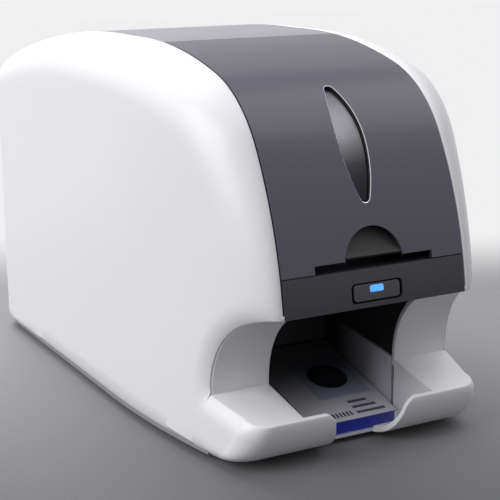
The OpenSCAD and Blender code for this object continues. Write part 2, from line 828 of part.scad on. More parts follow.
module carriage_pinch() {
    color(steel) place() {
        axle([carriage_d, pinch_z], pinch_r, -20, 20);
        axle([carriage_d, pinch_z], 2, -34, 34);
    }
}

module main_motor() {
    color("#303236") place() difference() {
        union() {
            axle([motor_d, motor_z], 17.5, 18, frame_in);
            box([12, motor_d - 8, motor_z - 8], [18.01, motor_d + 8, motor_z + 8]);
        }
        axle([motor_d, motor_z], 2.5 + run_gap, 30, 99);
    }
}

module motor_pulley() {
    color(steel) place() {
        axle([motor_d, motor_z], 2.5, 30.4, pulley_x1);
        axle([motor_d, motor_z], pulley_r, pulley_x0, pulley_x1);
    }
}

// Timing belt round the pulleys.
module belt_area(g) {
    hull() {
        for (p = [[front_d, feed_z], [carriage_d, feed_z], [motor_d, motor_z]])
            translate(p) circle(pulley_r + g, $fn = 32);
    }
}
module drive_belt() {
    color(black) place() along_x(pulley_x0 + 0.4, pulley_x1 - 0.4) difference() {
        belt_area(belt_gap + belt_t);
        belt_area(belt_gap);
    }
}

// Card hopper: floor with the pick roller's window, guides, and shelves out to the frames.
module hopper_box() {
    gx = card_w / 2 + 0.4;
    d1 = stack_d + card_l + 0.8;
    color("#e4e4e8") place() difference() {
        union() {
            both() box([gx, hopper_d, path_z - 2.2], [gx + hopper_wall, d1 + hopper_wall, 160]);
            box([-gx - 0.1, hopper_d, path_z - 2.2], [gx + 0.1, d1 + hopper_wall, path_z - 0.2]);
            box([-gx - 0.1, hopper_d, path_z - 2.2], [gx + 0.1, hopper_d + hopper_wall, 160]);
            both() box([10, d1, path_z - 2.2], [gx + 0.1, d1 + hopper_wall, 150]);
            both() box([gx + 1, hopper_d + 2, deck_z - 2], [frame_in - 0.2, d1, deck_z]);
        }
        box([-16.6, pick_d - 10, path_z - 9], [16.6, pick_d + 10, path_z + 9]);
        box([-gx, hopper_d - 9, path_z - 0.3], [gx, hopper_d + 9, path_z + 1.1]);
    }
}

module input_cards() {
    color("#f4f4f2") place() for (i = [0:card_count - 1])
        translate([-card_w / 2, stack_d, path_z + i * (card_t + 0.02)]) cube([card_w, card_l, card_t]);
}

// Weight that rests on the cards, with a grip.
module pressure_plate() {
    z = path_z + card_count * (card_t + 0.02) + 0.05;
    px = card_w / 2 - 0.2;
    color("#3b3d42") place() {
        box([-px, stack_d + 1, z], [px, stack_d + card_l - 1, z + 6]);
        box([-9, stack_d + 36, z + 5.9], [9, stack_d + 40, z + 18]);
    }
}

module pick_roller() {
    p = [pick_d, path_z - 0.1 - pick_r];
    color(rubber) place() {
        axle(p, pick_r, -16, 16);
        axle(p, 3, -frame_out - 4, frame_out + 0.8);
    }
}

module pick_motor() {
    p = [pick_d, path_z - 0.1 - pick_r];
    color("#303236") place() difference() {
        axle(p, 14, -frame_out - 20, -frame_out);
        axle(p, 3 + run_gap, -frame_out - 5, -frame_out + 1);
    }
}

// Card lying in the bin against its right wall, its front edge on the stops.
module printed_card() {
    color("#e9e8f2") place() translate([bay_w - 1 - card_w, bin_d0 + 0.3, bin_z(bin_d0 + 0.3) + 0.05])
        rotate([bin_a, 0, 0]) cube([card_w, card_l, card_t]);
}

usb_x = -22;
net_x = -2;
dc_x = 22;
rocker_x = -30;
rocker_z = 48;
module main_board() {
    color(green) place() {
        box([-44, 132, board_z], [44, 330, board_z + board_t]);
        for (x = [-38, 38], y = [142, 300]) translate([x, y, base_top]) cylinder(r = 3, h = board_z - base_top + 0.01);
        color(black) {
            box([-12, 180, board_z + board_t - 0.01], [12, 204, board_z + board_t + 2.4]);
            box([20, 150, board_z + board_t - 0.01], [34, 162, board_z + board_t + 2]);
            box([-36, 230, board_z + board_t - 0.01], [-24, 250, board_z + board_t + 8]);
        }
        color("#9aa0a6") for (y = [240, 262, 284]) translate([30, y, board_z + board_t - 0.01]) cylinder(r = 6, h = 16);
    }
}

// A socket shell that is open to the back.
module socket(x, w, h, bore) {
    difference() {
        box([x - w / 2, 318, board_z + board_t], [x + w / 2, body_l - 1, board_z + board_t + h]);
        box([x - w / 2 + bore, 324, board_z + board_t + bore], [x + w / 2 - bore, body_l + 9, board_z + board_t + h - bore]);
    }
}
module usb_socket() color(steel) place() socket(usb_x, 12, 11, 1.6);
module network_socket() color("#8f9297") place() socket(net_x, 16, 13.5, 1.8);

module dc_inlet() {
    color(black) place() {
        difference() {
            box([dc_x - 7, 320, board_z + board_t], [dc_x + 7, body_l - 0.6, board_z + board_t + 12]);
            axle_y([dc_x, board_z + board_t + 6], 4.4, 325, body_l + 9);
        }
        axle_y([dc_x, board_z + board_t + 6], 1, 324, body_l - 3);
    }
}

module switch_frame() {
    color(black) place() difference() {
        union() {
            box([rocker_x - 10.5, 322, rocker_z - 6.5], [rocker_x + 10.5, body_l - 1, rocker_z + 6.5]);
        }
        box([rocker_x - 9, 327, rocker_z - 5], [rocker_x + 9, body_l + 9, rocker_z + 5]);
        axle_z([rocker_x, body_l - 5.4], 1.2 + run_gap, rocker_z - 6.2, rocker_z + 6.2);
    }
}

// A cylinder along Z at [x, y].
module axle_z(p, r, z0, z1) translate([p.x, p.y, z0]) cylinder(r = r, h = z1 - z0);

module power_rocker() {
    color("#26262a") place() {
        translate([rocker_x, body_l - 5.4, rocker_z]) {
            linear_extrude(2 * 4.7, center = true) polygon([[-8.4, -0.6], [8.4, -2.2], [8, 1.4], [0, 2.2], [-7.9, 4]]);
            cylinder(r = 1.2, h = 12.2, center = true);
        }
    }
}

left_shell();
right_shell();
front_bar();
base_pan();
rear_panel();
rubber_feet();
base_screws();
frame_left();
frame_right();
tie_rods();
hinge_pins();
output_bin();
exit_guide();
top_cover();
head_bracket();
heat_sink();
print_head();
ribbon_frame();
ribbon_motor();
ribbon_film();
supply_spool();
takeup_spool();
release_button();
latch_lever();
rear_lid();
power_button();
status_light();
button_board();
platen_roller();
front_roller();
rear_roller();
front_pinch();
rear_pinch();
carriage();
carriage_roller();
carriage_pinch();
main_motor();
motor_pulley();
drive_belt();
hopper_box();
input_cards();
pressure_plate();
pick_roller();
pick_motor();
printed_card();
main_board();
usb_socket();
network_socket();
dc_inlet();
switch_frame();
power_rocker();
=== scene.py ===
"""Looks of a desktop id card printer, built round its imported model."""
import json
import math

import bmesh
import bpy
from mathutils import Matrix, Vector


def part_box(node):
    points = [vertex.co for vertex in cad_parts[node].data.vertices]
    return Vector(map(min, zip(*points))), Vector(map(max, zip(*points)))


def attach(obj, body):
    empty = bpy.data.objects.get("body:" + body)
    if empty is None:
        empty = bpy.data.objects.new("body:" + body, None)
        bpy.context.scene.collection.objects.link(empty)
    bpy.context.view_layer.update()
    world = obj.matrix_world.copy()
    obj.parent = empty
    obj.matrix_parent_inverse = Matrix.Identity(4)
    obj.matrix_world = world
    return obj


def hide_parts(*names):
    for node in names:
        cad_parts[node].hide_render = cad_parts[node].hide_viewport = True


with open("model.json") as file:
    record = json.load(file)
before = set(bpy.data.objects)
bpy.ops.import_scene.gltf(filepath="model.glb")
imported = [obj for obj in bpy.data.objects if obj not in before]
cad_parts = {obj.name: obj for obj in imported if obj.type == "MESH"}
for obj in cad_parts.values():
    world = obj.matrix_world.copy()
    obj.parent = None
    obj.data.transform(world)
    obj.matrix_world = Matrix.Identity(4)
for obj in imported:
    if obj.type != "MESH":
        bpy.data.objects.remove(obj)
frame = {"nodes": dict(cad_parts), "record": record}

bl_info = {
    "name": "Id Card Printer",
    "version": (1, 0, 0),
    "blender": (4, 5, 0),
    "location": "View3D > Sidebar > Printer",
    "description": "Adds the outer skin, the controls and the finishes of a desktop id card printer",
    "category": "Add Mesh",
}

MM = 0.001
SHELL_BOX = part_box("right_shell")
FRONT_Y = SHELL_BOX[0][1] / MM
BODY_L = (SHELL_BOX[1][1] - SHELL_BOX[0][1]) / MM
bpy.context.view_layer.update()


def linear(code):
    """sRGB hex to a linear colour."""
    def channel(v):
        return v / 12.92 if v <= 0.04045 else ((v + 0.055) / 1.055) ** 2.4
    return tuple(channel(int(code[i:i + 2], 16) / 255) for i in (0, 2, 4)) + (1.0,)


def length(name, text, default_mm, low_mm, high_mm):
    """Length property, given in millimetres and kept in metres."""
    return bpy.props.FloatProperty(name=name, description=text, default=default_mm * MM, min=low_mm * MM,
                                   max=high_mm * MM, precision=4, subtype="DISTANCE", unit="LENGTH")


def tint(name, text, code):
    """Colour property, given as sRGB hex and kept linear."""
    return bpy.props.FloatVectorProperty(name=name, description=text, default=linear(code), size=4, min=0.0,
                                         max=1.0, subtype="COLOR")


class PrinterSizes(bpy.types.PropertyGroup):
    """Sizes of the printer's outer skin."""
    wall: length("Wall", "Thickness of shells and covers", 2.6, 2.0, 3.5)
    edge_drop: length("Side rounding", "How far the sides drop away under the top", 24.0, 18.0, 28.0)
    edge_soft: length("Edge softness", "Radius on the moulded edges of the white shells", 0.7, 0.1, 1.5)
    cover_soft: length("Cover edge softness", "Radius on the edges of the dark covers", 0.35, 0.1, 0.8)
    foot_round: length("Foot rounding", "Rounding along the bottom of the sides", 7.0, 2.0, 10.0)
    mouth_round: length("Mouth rounding", "How far the sides turn in at the mouth's edge", 3.9, 1.0, 5.0)
    lip_corner: length("Lip corner", "Radius of the lip's outer corner in plan", 13.0, 8.0, 18.0)
    lens_l: length("Release length", "Length of the lens shaped release", 64.7, 50.0, 75.0)
    lens_w: length("Release width", "Width of the lens shaped release", 15.4, 10.0, 20.0)
    lens_tip: length("Release tip", "Radius of the release's two round tips", 2.6, 0.8, 3.5)
    arch_r: length("Finger arch", "Radius of the finger arch over the slot", 17.0, 12.0, 20.0)


class PrinterColours(bpy.types.PropertyGroup):
    """Colours of the printer's finishes."""
    shell: tint("Shell", "White side shells", "E4E4E8")
    cover: tint("Cover", "Front cover", "3E3C4C")
    bar: tint("Bar", "Front bar", "2D2C36")
    lid: tint("Lid", "Rear lid", "85848C")
    light: tint("Light", "Status light", "4E97FF")
    card_band: tint("Card band", "Band along the card's edge", "2C3A9B")


def size(key):
    """A size of the outer skin, in millimetres."""
    return getattr(bpy.context.scene.printer_sizes, key) / MM


def colour(key):
    """A colour of the finishes, linear."""
    return tuple(getattr(bpy.context.scene.printer_colours, key))


# The body, in millimetres. A side view point is (depth behind the foremost line, height).
# The side outline is a run of arcs: front face, brow, top, crown and back.
BAR_Z = 81.5
SEAM_Z = 100.5
TOP_Z = 205.0
FOOT_Z = 3.2
FRONT_R, FRONT_LEAN = 205.0, math.radians(6.5)
BROW_R = 70.0
TOP_R, TOP_D = 300.0, 151.0
CROWN_R, BACK_D = 550.0, 186.0
BACK_R = 26.0
FRONT_C = Vector((FRONT_R * math.cos(FRONT_LEAN), BAR_Z - FRONT_R * math.sin(FRONT_LEAN)))
TOP_C = Vector((TOP_D, TOP_Z - TOP_R))
CROWN_C = Vector((BACK_D, TOP_Z - CROWN_R))
# Across: the dark band, the gap beside it, the side, and how the side draws in towards the front.
HALF_W = 86.8
BAND_X = 53.4
SHELL_X = BAND_X + 0.5
ROUND_X = SHELL_X + 0.6
TAPER_R, TAPER_D = 560.0, 144.0
TAPER_LOW, TAPER_GAIN = 0.98, 0.3
FOOT_DEEP = 0.7
# The mouth's arc, the lip, the sloping tray and the bay.
MOUTH_C, MOUTH_R = Vector((-2.5, BAR_Z - 43.0)), 43.0
MOUTH_REACH = 9.0
EDGE_POWER = 2.2
LIP_D, LIP_R = 3.5, 24.8
LIP_C = Vector((LIP_D + LIP_R, FOOT_Z + LIP_R))
TRAY_A = math.radians(11)
BAY_X = 39.0
NOTCH_LOW, NOTCH_TOP, NOTCH_R, NOTCH_RISE = 16.0, 20.5, 8.5, 0.8
# The cover: its hinge barrel, slot, finger arch and the release's middle and lean.
HINGE, BARREL_R = Vector((117.0, TOP_Z - 13.0)), 15.2
SLOT_X, SLOT_TOP = 34.5, SEAM_Z + 4.5
ARCH_Z = SEAM_Z + 3.0
RAMP_Z, RAMP_D, RAMP_DEEP = SEAM_Z + 5.6, 4.6, 10.5
LENS_C, LENS_A = Vector((30.7, 158.3)), math.radians(34.7)
LENS_UP = Vector((math.sin(LENS_A), math.cos(LENS_A)))
LENS_IN = Vector((math.cos(LENS_A), -math.sin(LENS_A)))
FACE_SINK, FACE_DISH, FACE_T = 2.2, 0.5, 2.4
LENS_GAP = 0.55
STEM_LOW, STEM_HIGH, STEM_TOP, STEM_END, STEM_X = -18, -12, 4.2, 9.0, 2.5
# The bar: half width, half height and corner radius of the button, its window and their holes.
BUTTON_Z, WINDOW_LIFT = 88.9, 1.5
BUTTON_HOLE, BUTTON_CAP = (15.0, 4.95, 2.4), (13.5, 4.1, 1.7)
WINDOW_HOLE, WINDOW_CAP = (4.05, 1.75, 0.85), (3.95, 1.65, 0.8)
BAR_DEEP = 22.0
HOOK_X, HOOK_D = (36.5, 42.0), (5.6, 18.9)
# Hinge arms and latch ears: from and to across.
ARM_X = (41, 46)
# The printed card, and where the painted shade in the bay starts and where it is full.
CARD_W, CARD_L, CARD_T, CARD_R, CARD_A = 54.0, 85.6, 0.76, 3.2, math.radians(15)
BAY_SHADE_FROM_D, BAY_SHADE_FULL_D = 50.0, 104.0
# Depths that are clear ahead of the front face, and clear behind its wall.
AHEAD, INSIDE = -9.0, 20.0


def brow_centre():
    """Centre of the arc that rounds the front face into the top."""
    link = TOP_C - FRONT_C
    reach = link.length
    ra, rb = FRONT_R - BROW_R, TOP_R - BROW_R
    along = (ra * ra - rb * rb + reach * reach) / (2 * reach)
    aside = math.sqrt(ra * ra - along * along)
    unit = link / reach
    return FRONT_C + along * unit + aside * Vector((unit.y, -unit.x))


BROW_C = brow_centre()
BROW_A0 = math.atan2(BROW_C.y - FRONT_C.y, FRONT_C.x - BROW_C.x)
BROW_A1 = math.atan2(BROW_C.y - TOP_C.y, TOP_C.x - BROW_C.x)
CROWN_A = math.asin((BODY_L - BACK_R - BACK_D) / (CROWN_R - BACK_R))
BACK_C = Vector((BODY_L - BACK_R, CROWN_C.y + (CROWN_R - BACK_R) * math.cos(CROWN_A)))
ARCS = (
    (FRONT_C, FRONT_R, 0.0, BROW_A0),
    (BROW_C, BROW_R, BROW_A0, BROW_A1),
    (TOP_C, TOP_R, BROW_A1, math.pi / 2),
    (CROWN_C, CROWN_R, math.pi / 2, math.pi / 2 + CROWN_A),
    (BACK_C, BACK_R, math.pi / 2 + CROWN_A, math.pi),
)


def place(x, d, z):
    """Point from millimetres (across, depth from the front, height) to the frame's metres."""
    return Vector((x * MM, (FRONT_Y + d) * MM, z * MM))


def on_arc(centre, radius, angle):
    """Point of an arc, its angle counted from straight ahead up over the top."""
    return Vector((centre.x - radius * math.cos(angle), centre.y + radius * math.sin(angle)))


def outline(inset=0.0, first_z=BAR_Z, step=3.0):
    """Side outline from first_z on the front face over the top to the back, drawn in by inset."""
    points = []
    for k, (centre, radius, a0, a1) in enumerate(ARCS):
        r = radius - inset
        if k == 0:
            a0 = math.asin((first_z - centre.y) / r)
        count = max(3, int(r * (a1 - a0) / step))
        if k == 3:
            level = int((BACK_D - TOP_D) / step)
            points += [Vector((TOP_D + (BACK_D - TOP_D) * i / level, TOP_Z - inset)) for i in range(1, level)]
        for i in range(0 if k in (0, 3) else 1, count + 1):
            points.append(on_arc(centre, r, a0 + (a1 - a0) * i / count))
    return points


def inset_at(d, z):
    """Distance of a point inward from the side outline."""
    best = 999.0
    for centre, radius, a0, a1 in ARCS:
        a = math.atan2(z - centre.y, centre.x - d)
        if a0 - 1e-6 <= a <= a1 + 1e-6:
            best = min(best, radius - math.hypot(d - centre.x, z - centre.y))
    if TOP_D <= d <= BACK_D:
        best = min(best, TOP_Z - z)
    if z <= FRONT_C.y:
        best = min(best, d - (FRONT_C.x - FRONT_R))
    if z <= BACK_C.y:
        best = min(best, BODY_L - d)
    return max(best, 0.0)


def side_x(d, z):
    """Half width of the body's side at a point of the side view."""
    ahead = max(0.0, TAPER_D - d)
    drawn = TAPER_R - math.sqrt(TAPER_R ** 2 - ahead ** 2)
    return HALF_W - drawn * (TAPER_LOW + TAPER_GAIN * z / TOP_Z)


def tray_z(d):
    """Height of the sloping tray beside the bay."""
    return LIP_C.y + (d - LIP_D) * math.tan(TRAY_A)


def mouth_gap(d, z):
    """Distance of a point of the side from the edge of the mouth and its tray."""
    foot = MOUTH_C.x + MOUTH_R
    if z >= MOUTH_C.y:
        return max(0.0, math.hypot(d - MOUTH_C.x, z - MOUTH_C.y) - MOUTH_R)
    if d >= foot:
        return d - foot if z > tray_z(foot) else math.hypot(d - foot, z - tray_z(foot))
    return max(0.0, (tray_z(d) - z) * math.cos(TRAY_A))


def round_off(distance, reach, deep):
    """How far a surface turns in near an edge."""
    return deep * max(0.0, 1.0 - distance / reach) ** EDGE_POWER


def flank_x(d, z):
    """Half width at the side, turned in at the mouth's edge and at the foot."""
    foot = round_off(z - FOOT_Z, size("foot_round"), size("foot_round") * FOOT_DEEP)
    return side_x(d, z) - round_off(mouth_gap(d, z), MOUTH_REACH, size("mouth_round")) - foot


def skin_x(d, z, drop):
    """Half width of the skin: an elliptical rounding between the band and the side."""
    inset = inset_at(d, z)
    if inset >= drop:
        return flank_x(d, z)
    c = 1.0 - inset / drop
    return ROUND_X + (flank_x(d, z) - ROUND_X) * math.sqrt(1.0 - c * c)


def clean_view():
    """Leaves edit mode, with nothing selected."""
    if bpy.context.object and bpy.context.object.mode != "OBJECT":
        bpy.ops.object.mode_set(mode="OBJECT")
    bpy.ops.object.select_all(action="DESELECT")


def pick(obj):
    """Selects one object alone."""
    clean_view()
    obj.select_set(True)
    bpy.context.view_layer.objects.active = obj


def use(obj, kind, **settings):
    """Adds a modifier and applies it."""
    pick(obj)
    mod = obj.modifiers.new(kind.lower(), kind)
    for key, value in settings.items():
        setattr(mod, key, value)
    bpy.ops.object.modifier_apply(modifier=mod.name)
    return obj


def edit(obj, *steps):
    """Runs edit mode operators on the whole mesh."""
    pick(obj)
    bpy.ops.object.mode_set(mode="EDIT")
    bpy.ops.mesh.select_all(action="SELECT")
    for step in steps:
        step()
    bpy.ops.object.mode_set(mode="OBJECT")
    return obj


def outwards(obj):
    """Turns a closed mesh's faces to the outside."""
    return edit(obj, lambda: bpy.ops.mesh.normals_make_consistent(inside=False))


def prism(name, ring, shift):
    """Closed outline as a face, extruded by a vector."""
    clean_view()
    bpy.ops.mesh.primitive_circle_add(vertices=len(ring), radius=0.01, fill_type="NGON")
    obj = bpy.context.object
    obj.name = obj.data.name = name
    for vertex, point in zip(obj.data.vertices, ring):
        vertex.co = point
    return edit(obj, lambda: bpy.ops.mesh.extrude_region_move(TRANSFORM_OT_translate={"value": shift}),
                lambda: bpy.ops.mesh.select_all(action="SELECT"),
                lambda: bpy.ops.mesh.normals_make_consistent(inside=False))


def across(name, points, x0, x1):
    """Side view outline extruded across the body."""
    return prism(name, [place(x0, p[0], p[1]) for p in points], ((x1 - x0) * MM, 0, 0))


def front_back(name, points, d0, d1):
    """Front view outline [across, height] extruded backwards."""
    return prism(name, [place(p[0], d0, p[1]) for p in points], (0, (d1 - d0) * MM, 0))


def block(name, low, high):
    """Box between two corners, in millimetres."""
    ring = [(low[1], low[2]), (high[1], low[2]), (high[1], high[2]), (low[1], high[2])]
    return across(name, ring, low[0], high[0])


def sheet(name, nu, nv, rule):
    """Grid laid out by a rule from (u, v) in 0..1 to a point."""
    clean_view()
    bpy.ops.mesh.primitive_grid_add(x_subdivisions=nu, y_subdivisions=nv, size=2)
    obj = bpy.context.object
    obj.name = obj.data.name = name
    for vertex in obj.data.vertices:
        vertex.co = rule((vertex.co.x + 1) / 2, (vertex.co.y + 1) / 2)
    return obj


def cut(obj, tool, operation="DIFFERENCE"):
    """Boolean with a tool that is then removed."""
    use(obj, "BOOLEAN", operation=operation, object=tool, solver="EXACT")
    bpy.data.objects.remove(tool, do_unlink=True)
    return obj


def soften(obj, width, angle=38.0, segments=3):
    """Rounds the sharp edges and smooths the rest."""
    use(obj, "BEVEL", width=width * MM, segments=segments, limit_method="ANGLE",
        angle_limit=math.radians(angle), use_clamp_overlap=True, miter_outer="MITER_ARC")
    smooth(obj, angle)
    return use(obj, "WEIGHTED_NORMAL", keep_sharp=True)


def smooth(obj, angle=38.0):
    """Smooth shading, with an edge where faces meet at more than an angle."""
    pick(obj)
    bpy.ops.object.shade_smooth_by_angle(angle=math.radians(angle))
    return obj


def join(name, *parts):
    """One piece made of several."""
    clean_view()
    for part in parts:
        part.select_set(True)
    bpy.context.view_layer.objects.active = parts[0]
    bpy.ops.object.join()
    obj = bpy.context.object
    obj.name = obj.data.name = name
    return obj


def mirrored(obj, name):
    """Copy of a piece for the other side."""
    pick(obj)
    bpy.ops.object.duplicate()
    copy = bpy.context.object
    copy.name = copy.data.name = name
    for vertex in copy.data.vertices:
        vertex.co.x = -vertex.co.x
    return edit(copy, lambda: bpy.ops.mesh.flip_normals())


def done(obj, material, body, slot, *nodes):
    """Gives a piece its finish, its body and the nodes that it stands for."""
    obj.data.materials.clear()
    obj.data.materials.append(material)
    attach(obj, body)
    if nodes:
        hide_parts(*nodes)
    return obj


# Finishes. How large the patterns are drawn, in millimetres, and the release face's painted reflection from
# the low end up.
CLOUD_MM, LINES_MM, SPOT_MM = 60.0, 4.0, 9.0
TRACKS_MM, TURNS_MM, BARS_MM = 4.5, 9.42, 2.2
# In its own units, a wave texture repeats every tau / 20 and a brick is half as wide as one unit.
WAVE, BRICK = math.tau / 20, 0.5
# The card's print, in millimetres from its near left corner: left, right, near and far edge.
PRINT_BAND, PRINT_CODE, PRINT_PANEL = (-1, 60, 0.0, 9.2), (4, 29, 12.5, 16.5), (17, 50, 30, 70)
BADGE, BADGE_R, BADGE_CORE_R = (33.5, 50), 11.5, 7.0
ROW_LEFT, ROW_RIGHT, ROW_NEAR, ROW_HIGH = 31, 49, 13, 2.2
# Painted shade on the card: where it starts and where it is full, in millimetres, and how dark it gets.
CARD_SHADE_FROM, CARD_SHADE_FULL, CARD_SHADE_DEPTH = 14, 64, 0.88
PAINTED_REFLECTION = ((0.0, "222226"), (0.2, "2B2B2F"), (0.33, "3C3C41"), (0.43, "5A5A5F"), (0.57, "7C7C81"),
         (0.74, "78787D"), (1.0, "4E4E53"))


def add(tree, kind, links=None, **settings):
    """Adds a node, sets its inputs and properties, and links what is given."""
    node = tree.nodes.new(kind)
    for key, value in settings.items():
        if hasattr(node, key) and key not in node.inputs:
            setattr(node, key, value)
        else:
            node.inputs[key].default_value = value
    for socket, source in (links or {}).items():
        tree.links.new(source, node.inputs[socket])
    return node


def surface(name, paint, rough, ior=1.5, metallic=0.0, coat=0.0):
    """Material with a Principled shader; returns (material, tree, shader, coordinates)."""
    mat = bpy.data.materials.new(name)
    mat.use_nodes = True
    tree = mat.node_tree
    shader = tree.nodes["Principled BSDF"]
    shader.inputs["Base Color"].default_value = paint
    shader.inputs["Roughness"].default_value = rough
    shader.inputs["IOR"].default_value = ior
    shader.inputs["Metallic"].default_value = metallic
    shader.inputs["Coat Weight"].default_value = coat
    where = tree.nodes.new("ShaderNodeTexCoord").outputs["Object"]
    return mat, tree, shader, where


def moulded(name, paint, rough, grain_mm, depth_mm, tone=0.04, ior=1.5):
    """Injection moulded plastic: spark-eroded grain, and a faint cloud of tone and gloss.

    Real grain is 0.1 to 0.2 mm and wouldn't show, so it is drawn at 0.5 mm and more. The cloud is as wide
    as the flow marks of a large moulding.
    """
    mat, tree, shader, where = surface(name, paint, rough, ior=ior)
    grain = add(tree, "ShaderNodeTexNoise", {"Vector": where}, Scale=1000 / grain_mm, Detail=2.0)
    cloud = add(tree, "ShaderNodeTexNoise", {"Vector": where}, Scale=1000 / CLOUD_MM, Detail=3.0)
    shade = tuple(c * (1 - tone) for c in paint[:3]) + (1.0,)
    ramp = add(tree, "ShaderNodeMix", {0: cloud.outputs["Fac"]}, data_type="RGBA")
    ramp.inputs[6].default_value = shade
    ramp.inputs[7].default_value = paint
    tree.links.new(ramp.outputs[2], shader.inputs["Base Color"])
    gloss = add(tree, "ShaderNodeMapRange", {"Value": cloud.outputs["Fac"]},
                **{"To Min": rough * 0.93, "To Max": rough * 1.07})
    tree.links.new(gloss.outputs["Result"], shader.inputs["Roughness"])
    bump = add(tree, "ShaderNodeBump", {"Height": grain.outputs["Fac"]},
               Strength=0.25, Distance=depth_mm * MM)
    tree.links.new(bump.outputs["Normal"], shader.inputs["Normal"])
    return mat


def brushed(name, paint, rough, stretch, metallic=1.0):
    """Rolled, ground, brushed or plated metal: a noise that stretch packs into fine lines.

    Real lines are near 0.05 mm apart and wouldn't show, so they are drawn 0.07 to 0.4 mm apart.
    """
    mat, tree, shader, where = surface(name, paint, rough, metallic=metallic)
    lay = add(tree, "ShaderNodeMapping", {"Vector": where}, Scale=stretch)
    lines = add(tree, "ShaderNodeTexNoise", {"Vector": lay.outputs["Vector"]},
                Scale=1000 / LINES_MM, Detail=4.0)
    gloss = add(tree, "ShaderNodeMapRange", {"Value": lines.outputs["Fac"]},
                **{"To Min": rough * 0.75, "To Max": rough * 1.3})
    tree.links.new(gloss.outputs["Result"], shader.inputs["Roughness"])
    bump = add(tree, "ShaderNodeBump", {"Height": lines.outputs["Fac"]}, Strength=0.2, Distance=0.05 * MM)
    tree.links.new(bump.outputs["Normal"], shader.inputs["Normal"])
    return mat


def face_with_painted_reflection(name, low_z, high_z):
    """Release face: brushed, with a painted reflection, lightest above its middle and darkest at its low end.
    """
    mat = brushed(name, linear("A6A8AE"), 0.3, (1.0, 40.0, 40.0), metallic=0.85)
    tree = mat.node_tree
    where = tree.nodes.new("ShaderNodeTexCoord").outputs["Object"]
    split = add(tree, "ShaderNodeSeparateXYZ", {"Vector": where})
    # Painted reflection: the face's colour runs from dark at its low end to light above its middle.
    height = add(tree, "ShaderNodeMapRange", {"Value": split.outputs["Z"]},
                 **{"From Min": low_z * MM, "From Max": high_z * MM})
    ramp = add(tree, "ShaderNodeValToRGB", {"Fac": height.outputs["Result"]})
    marks = ramp.color_ramp.elements
    while len(marks) < len(PAINTED_REFLECTION):
        marks.new(0.5)
    for mark, (spot, code) in zip(marks, PAINTED_REFLECTION):
        mark.position = spot
        mark.color = linear(code)
    tree.links.new(ramp.outputs["Color"], tree.nodes["Principled BSDF"].inputs["Base Color"])
    return mat


def bay_with_painted_shade(name, paint, deep, light_d, dark_d):
    """Bay plastic: light grey at the mouth, with painted shade that turns it black further in, so the bay's
    depth stays dark.
    """
    mat = moulded(name, paint, 0.6, 0.6, 0.04, tone=0.03)
    tree = mat.node_tree
    shader = tree.nodes["Principled BSDF"]
    split = add(tree, "ShaderNodeSeparateXYZ",
                {"Vector": tree.nodes.new("ShaderNodeTexCoord").outputs["Object"]})
    depth = add(tree, "ShaderNodeMapRange", {"Value": split.outputs["Y"]}, interpolation_type="SMOOTHSTEP",
                **{"From Min": (FRONT_Y + light_d) * MM, "From Max": (FRONT_Y + dark_d) * MM})
    plain = shader.inputs["Base Color"].links[0].from_socket
    # Painted shade: the bay's plastic turns black with depth.
    mix = add(tree, "ShaderNodeMix", {0: depth.outputs["Result"], 6: plain}, data_type="RGBA")
    mix.inputs[7].default_value = deep
    tree.links.new(mix.outputs[2], shader.inputs["Base Color"])
    return mat


def rubber(name, paint, rough):
    """Soft rubber: dull, with a dusty mottle."""
    return moulded(name, paint, rough, 0.8, 0.08, tone=0.2, ior=1.45)


def lit_window(name, paint):
    """Clear window over a lit diode: bright all over, a little uneven as light from one diode is."""
    mat, tree, shader, where = surface(name, paint, 0.15)
    spot = add(tree, "ShaderNodeTexNoise", {"Vector": where}, Scale=1000 / SPOT_MM, Detail=0.0)
    level = add(tree, "ShaderNodeMapRange", {"Value": spot.outputs["Fac"]},
                **{"From Min": 0.35, "From Max": 0.65, "To Min": 0.75, "To Max": 1.0})
    shader.inputs["Emission Color"].default_value = paint
    tree.links.new(level.outputs["Result"], shader.inputs["Emission Strength"])
    return mat


def circuit_board(name):
    """Green solder mask with copper tracks that show through as paler lines.

    Real tracks are 0.2 to 0.5 mm apart and wouldn't show, so they are drawn 2 to 4 mm apart.
    """
    mat, tree, shader, where = surface(name, linear("1E5A3A"), 0.35, coat=0.3)
    cells = add(tree, "ShaderNodeTexBrick", {"Vector": where}, Scale=1000 * BRICK / TRACKS_MM)
    cells.inputs["Color1"].default_value = linear("1E5A3A")
    cells.inputs["Color2"].default_value = linear("246845")
    cells.inputs["Mortar"].default_value = linear("3A7F55")
    tree.links.new(cells.outputs["Color"], shader.inputs["Base Color"])
    return mat


def wound_film(name):
    """Dye ribbon, flat or wound: bands from amber to plum under a slick face.

    The wound turns are thinner than 0.01 mm and wouldn't show, so the bands are drawn 9 mm apart.
    """
    mat, tree, shader, where = surface(name, linear("5A3A22"), 0.3, coat=0.4)
    waves = add(tree, "ShaderNodeTexWave", {"Vector": where}, Scale=1000 * WAVE / TURNS_MM, Distortion=0.4)
    ramp = tree.nodes.new("ShaderNodeValToRGB")
    ramp.color_ramp.elements[0].color = linear("7A4A18")
    ramp.color_ramp.elements[1].color = linear("3B2233")
    tree.links.new(waves.outputs["Fac"], ramp.inputs["Fac"])
    tree.links.new(ramp.outputs["Color"], shader.inputs["Base Color"])
    return mat


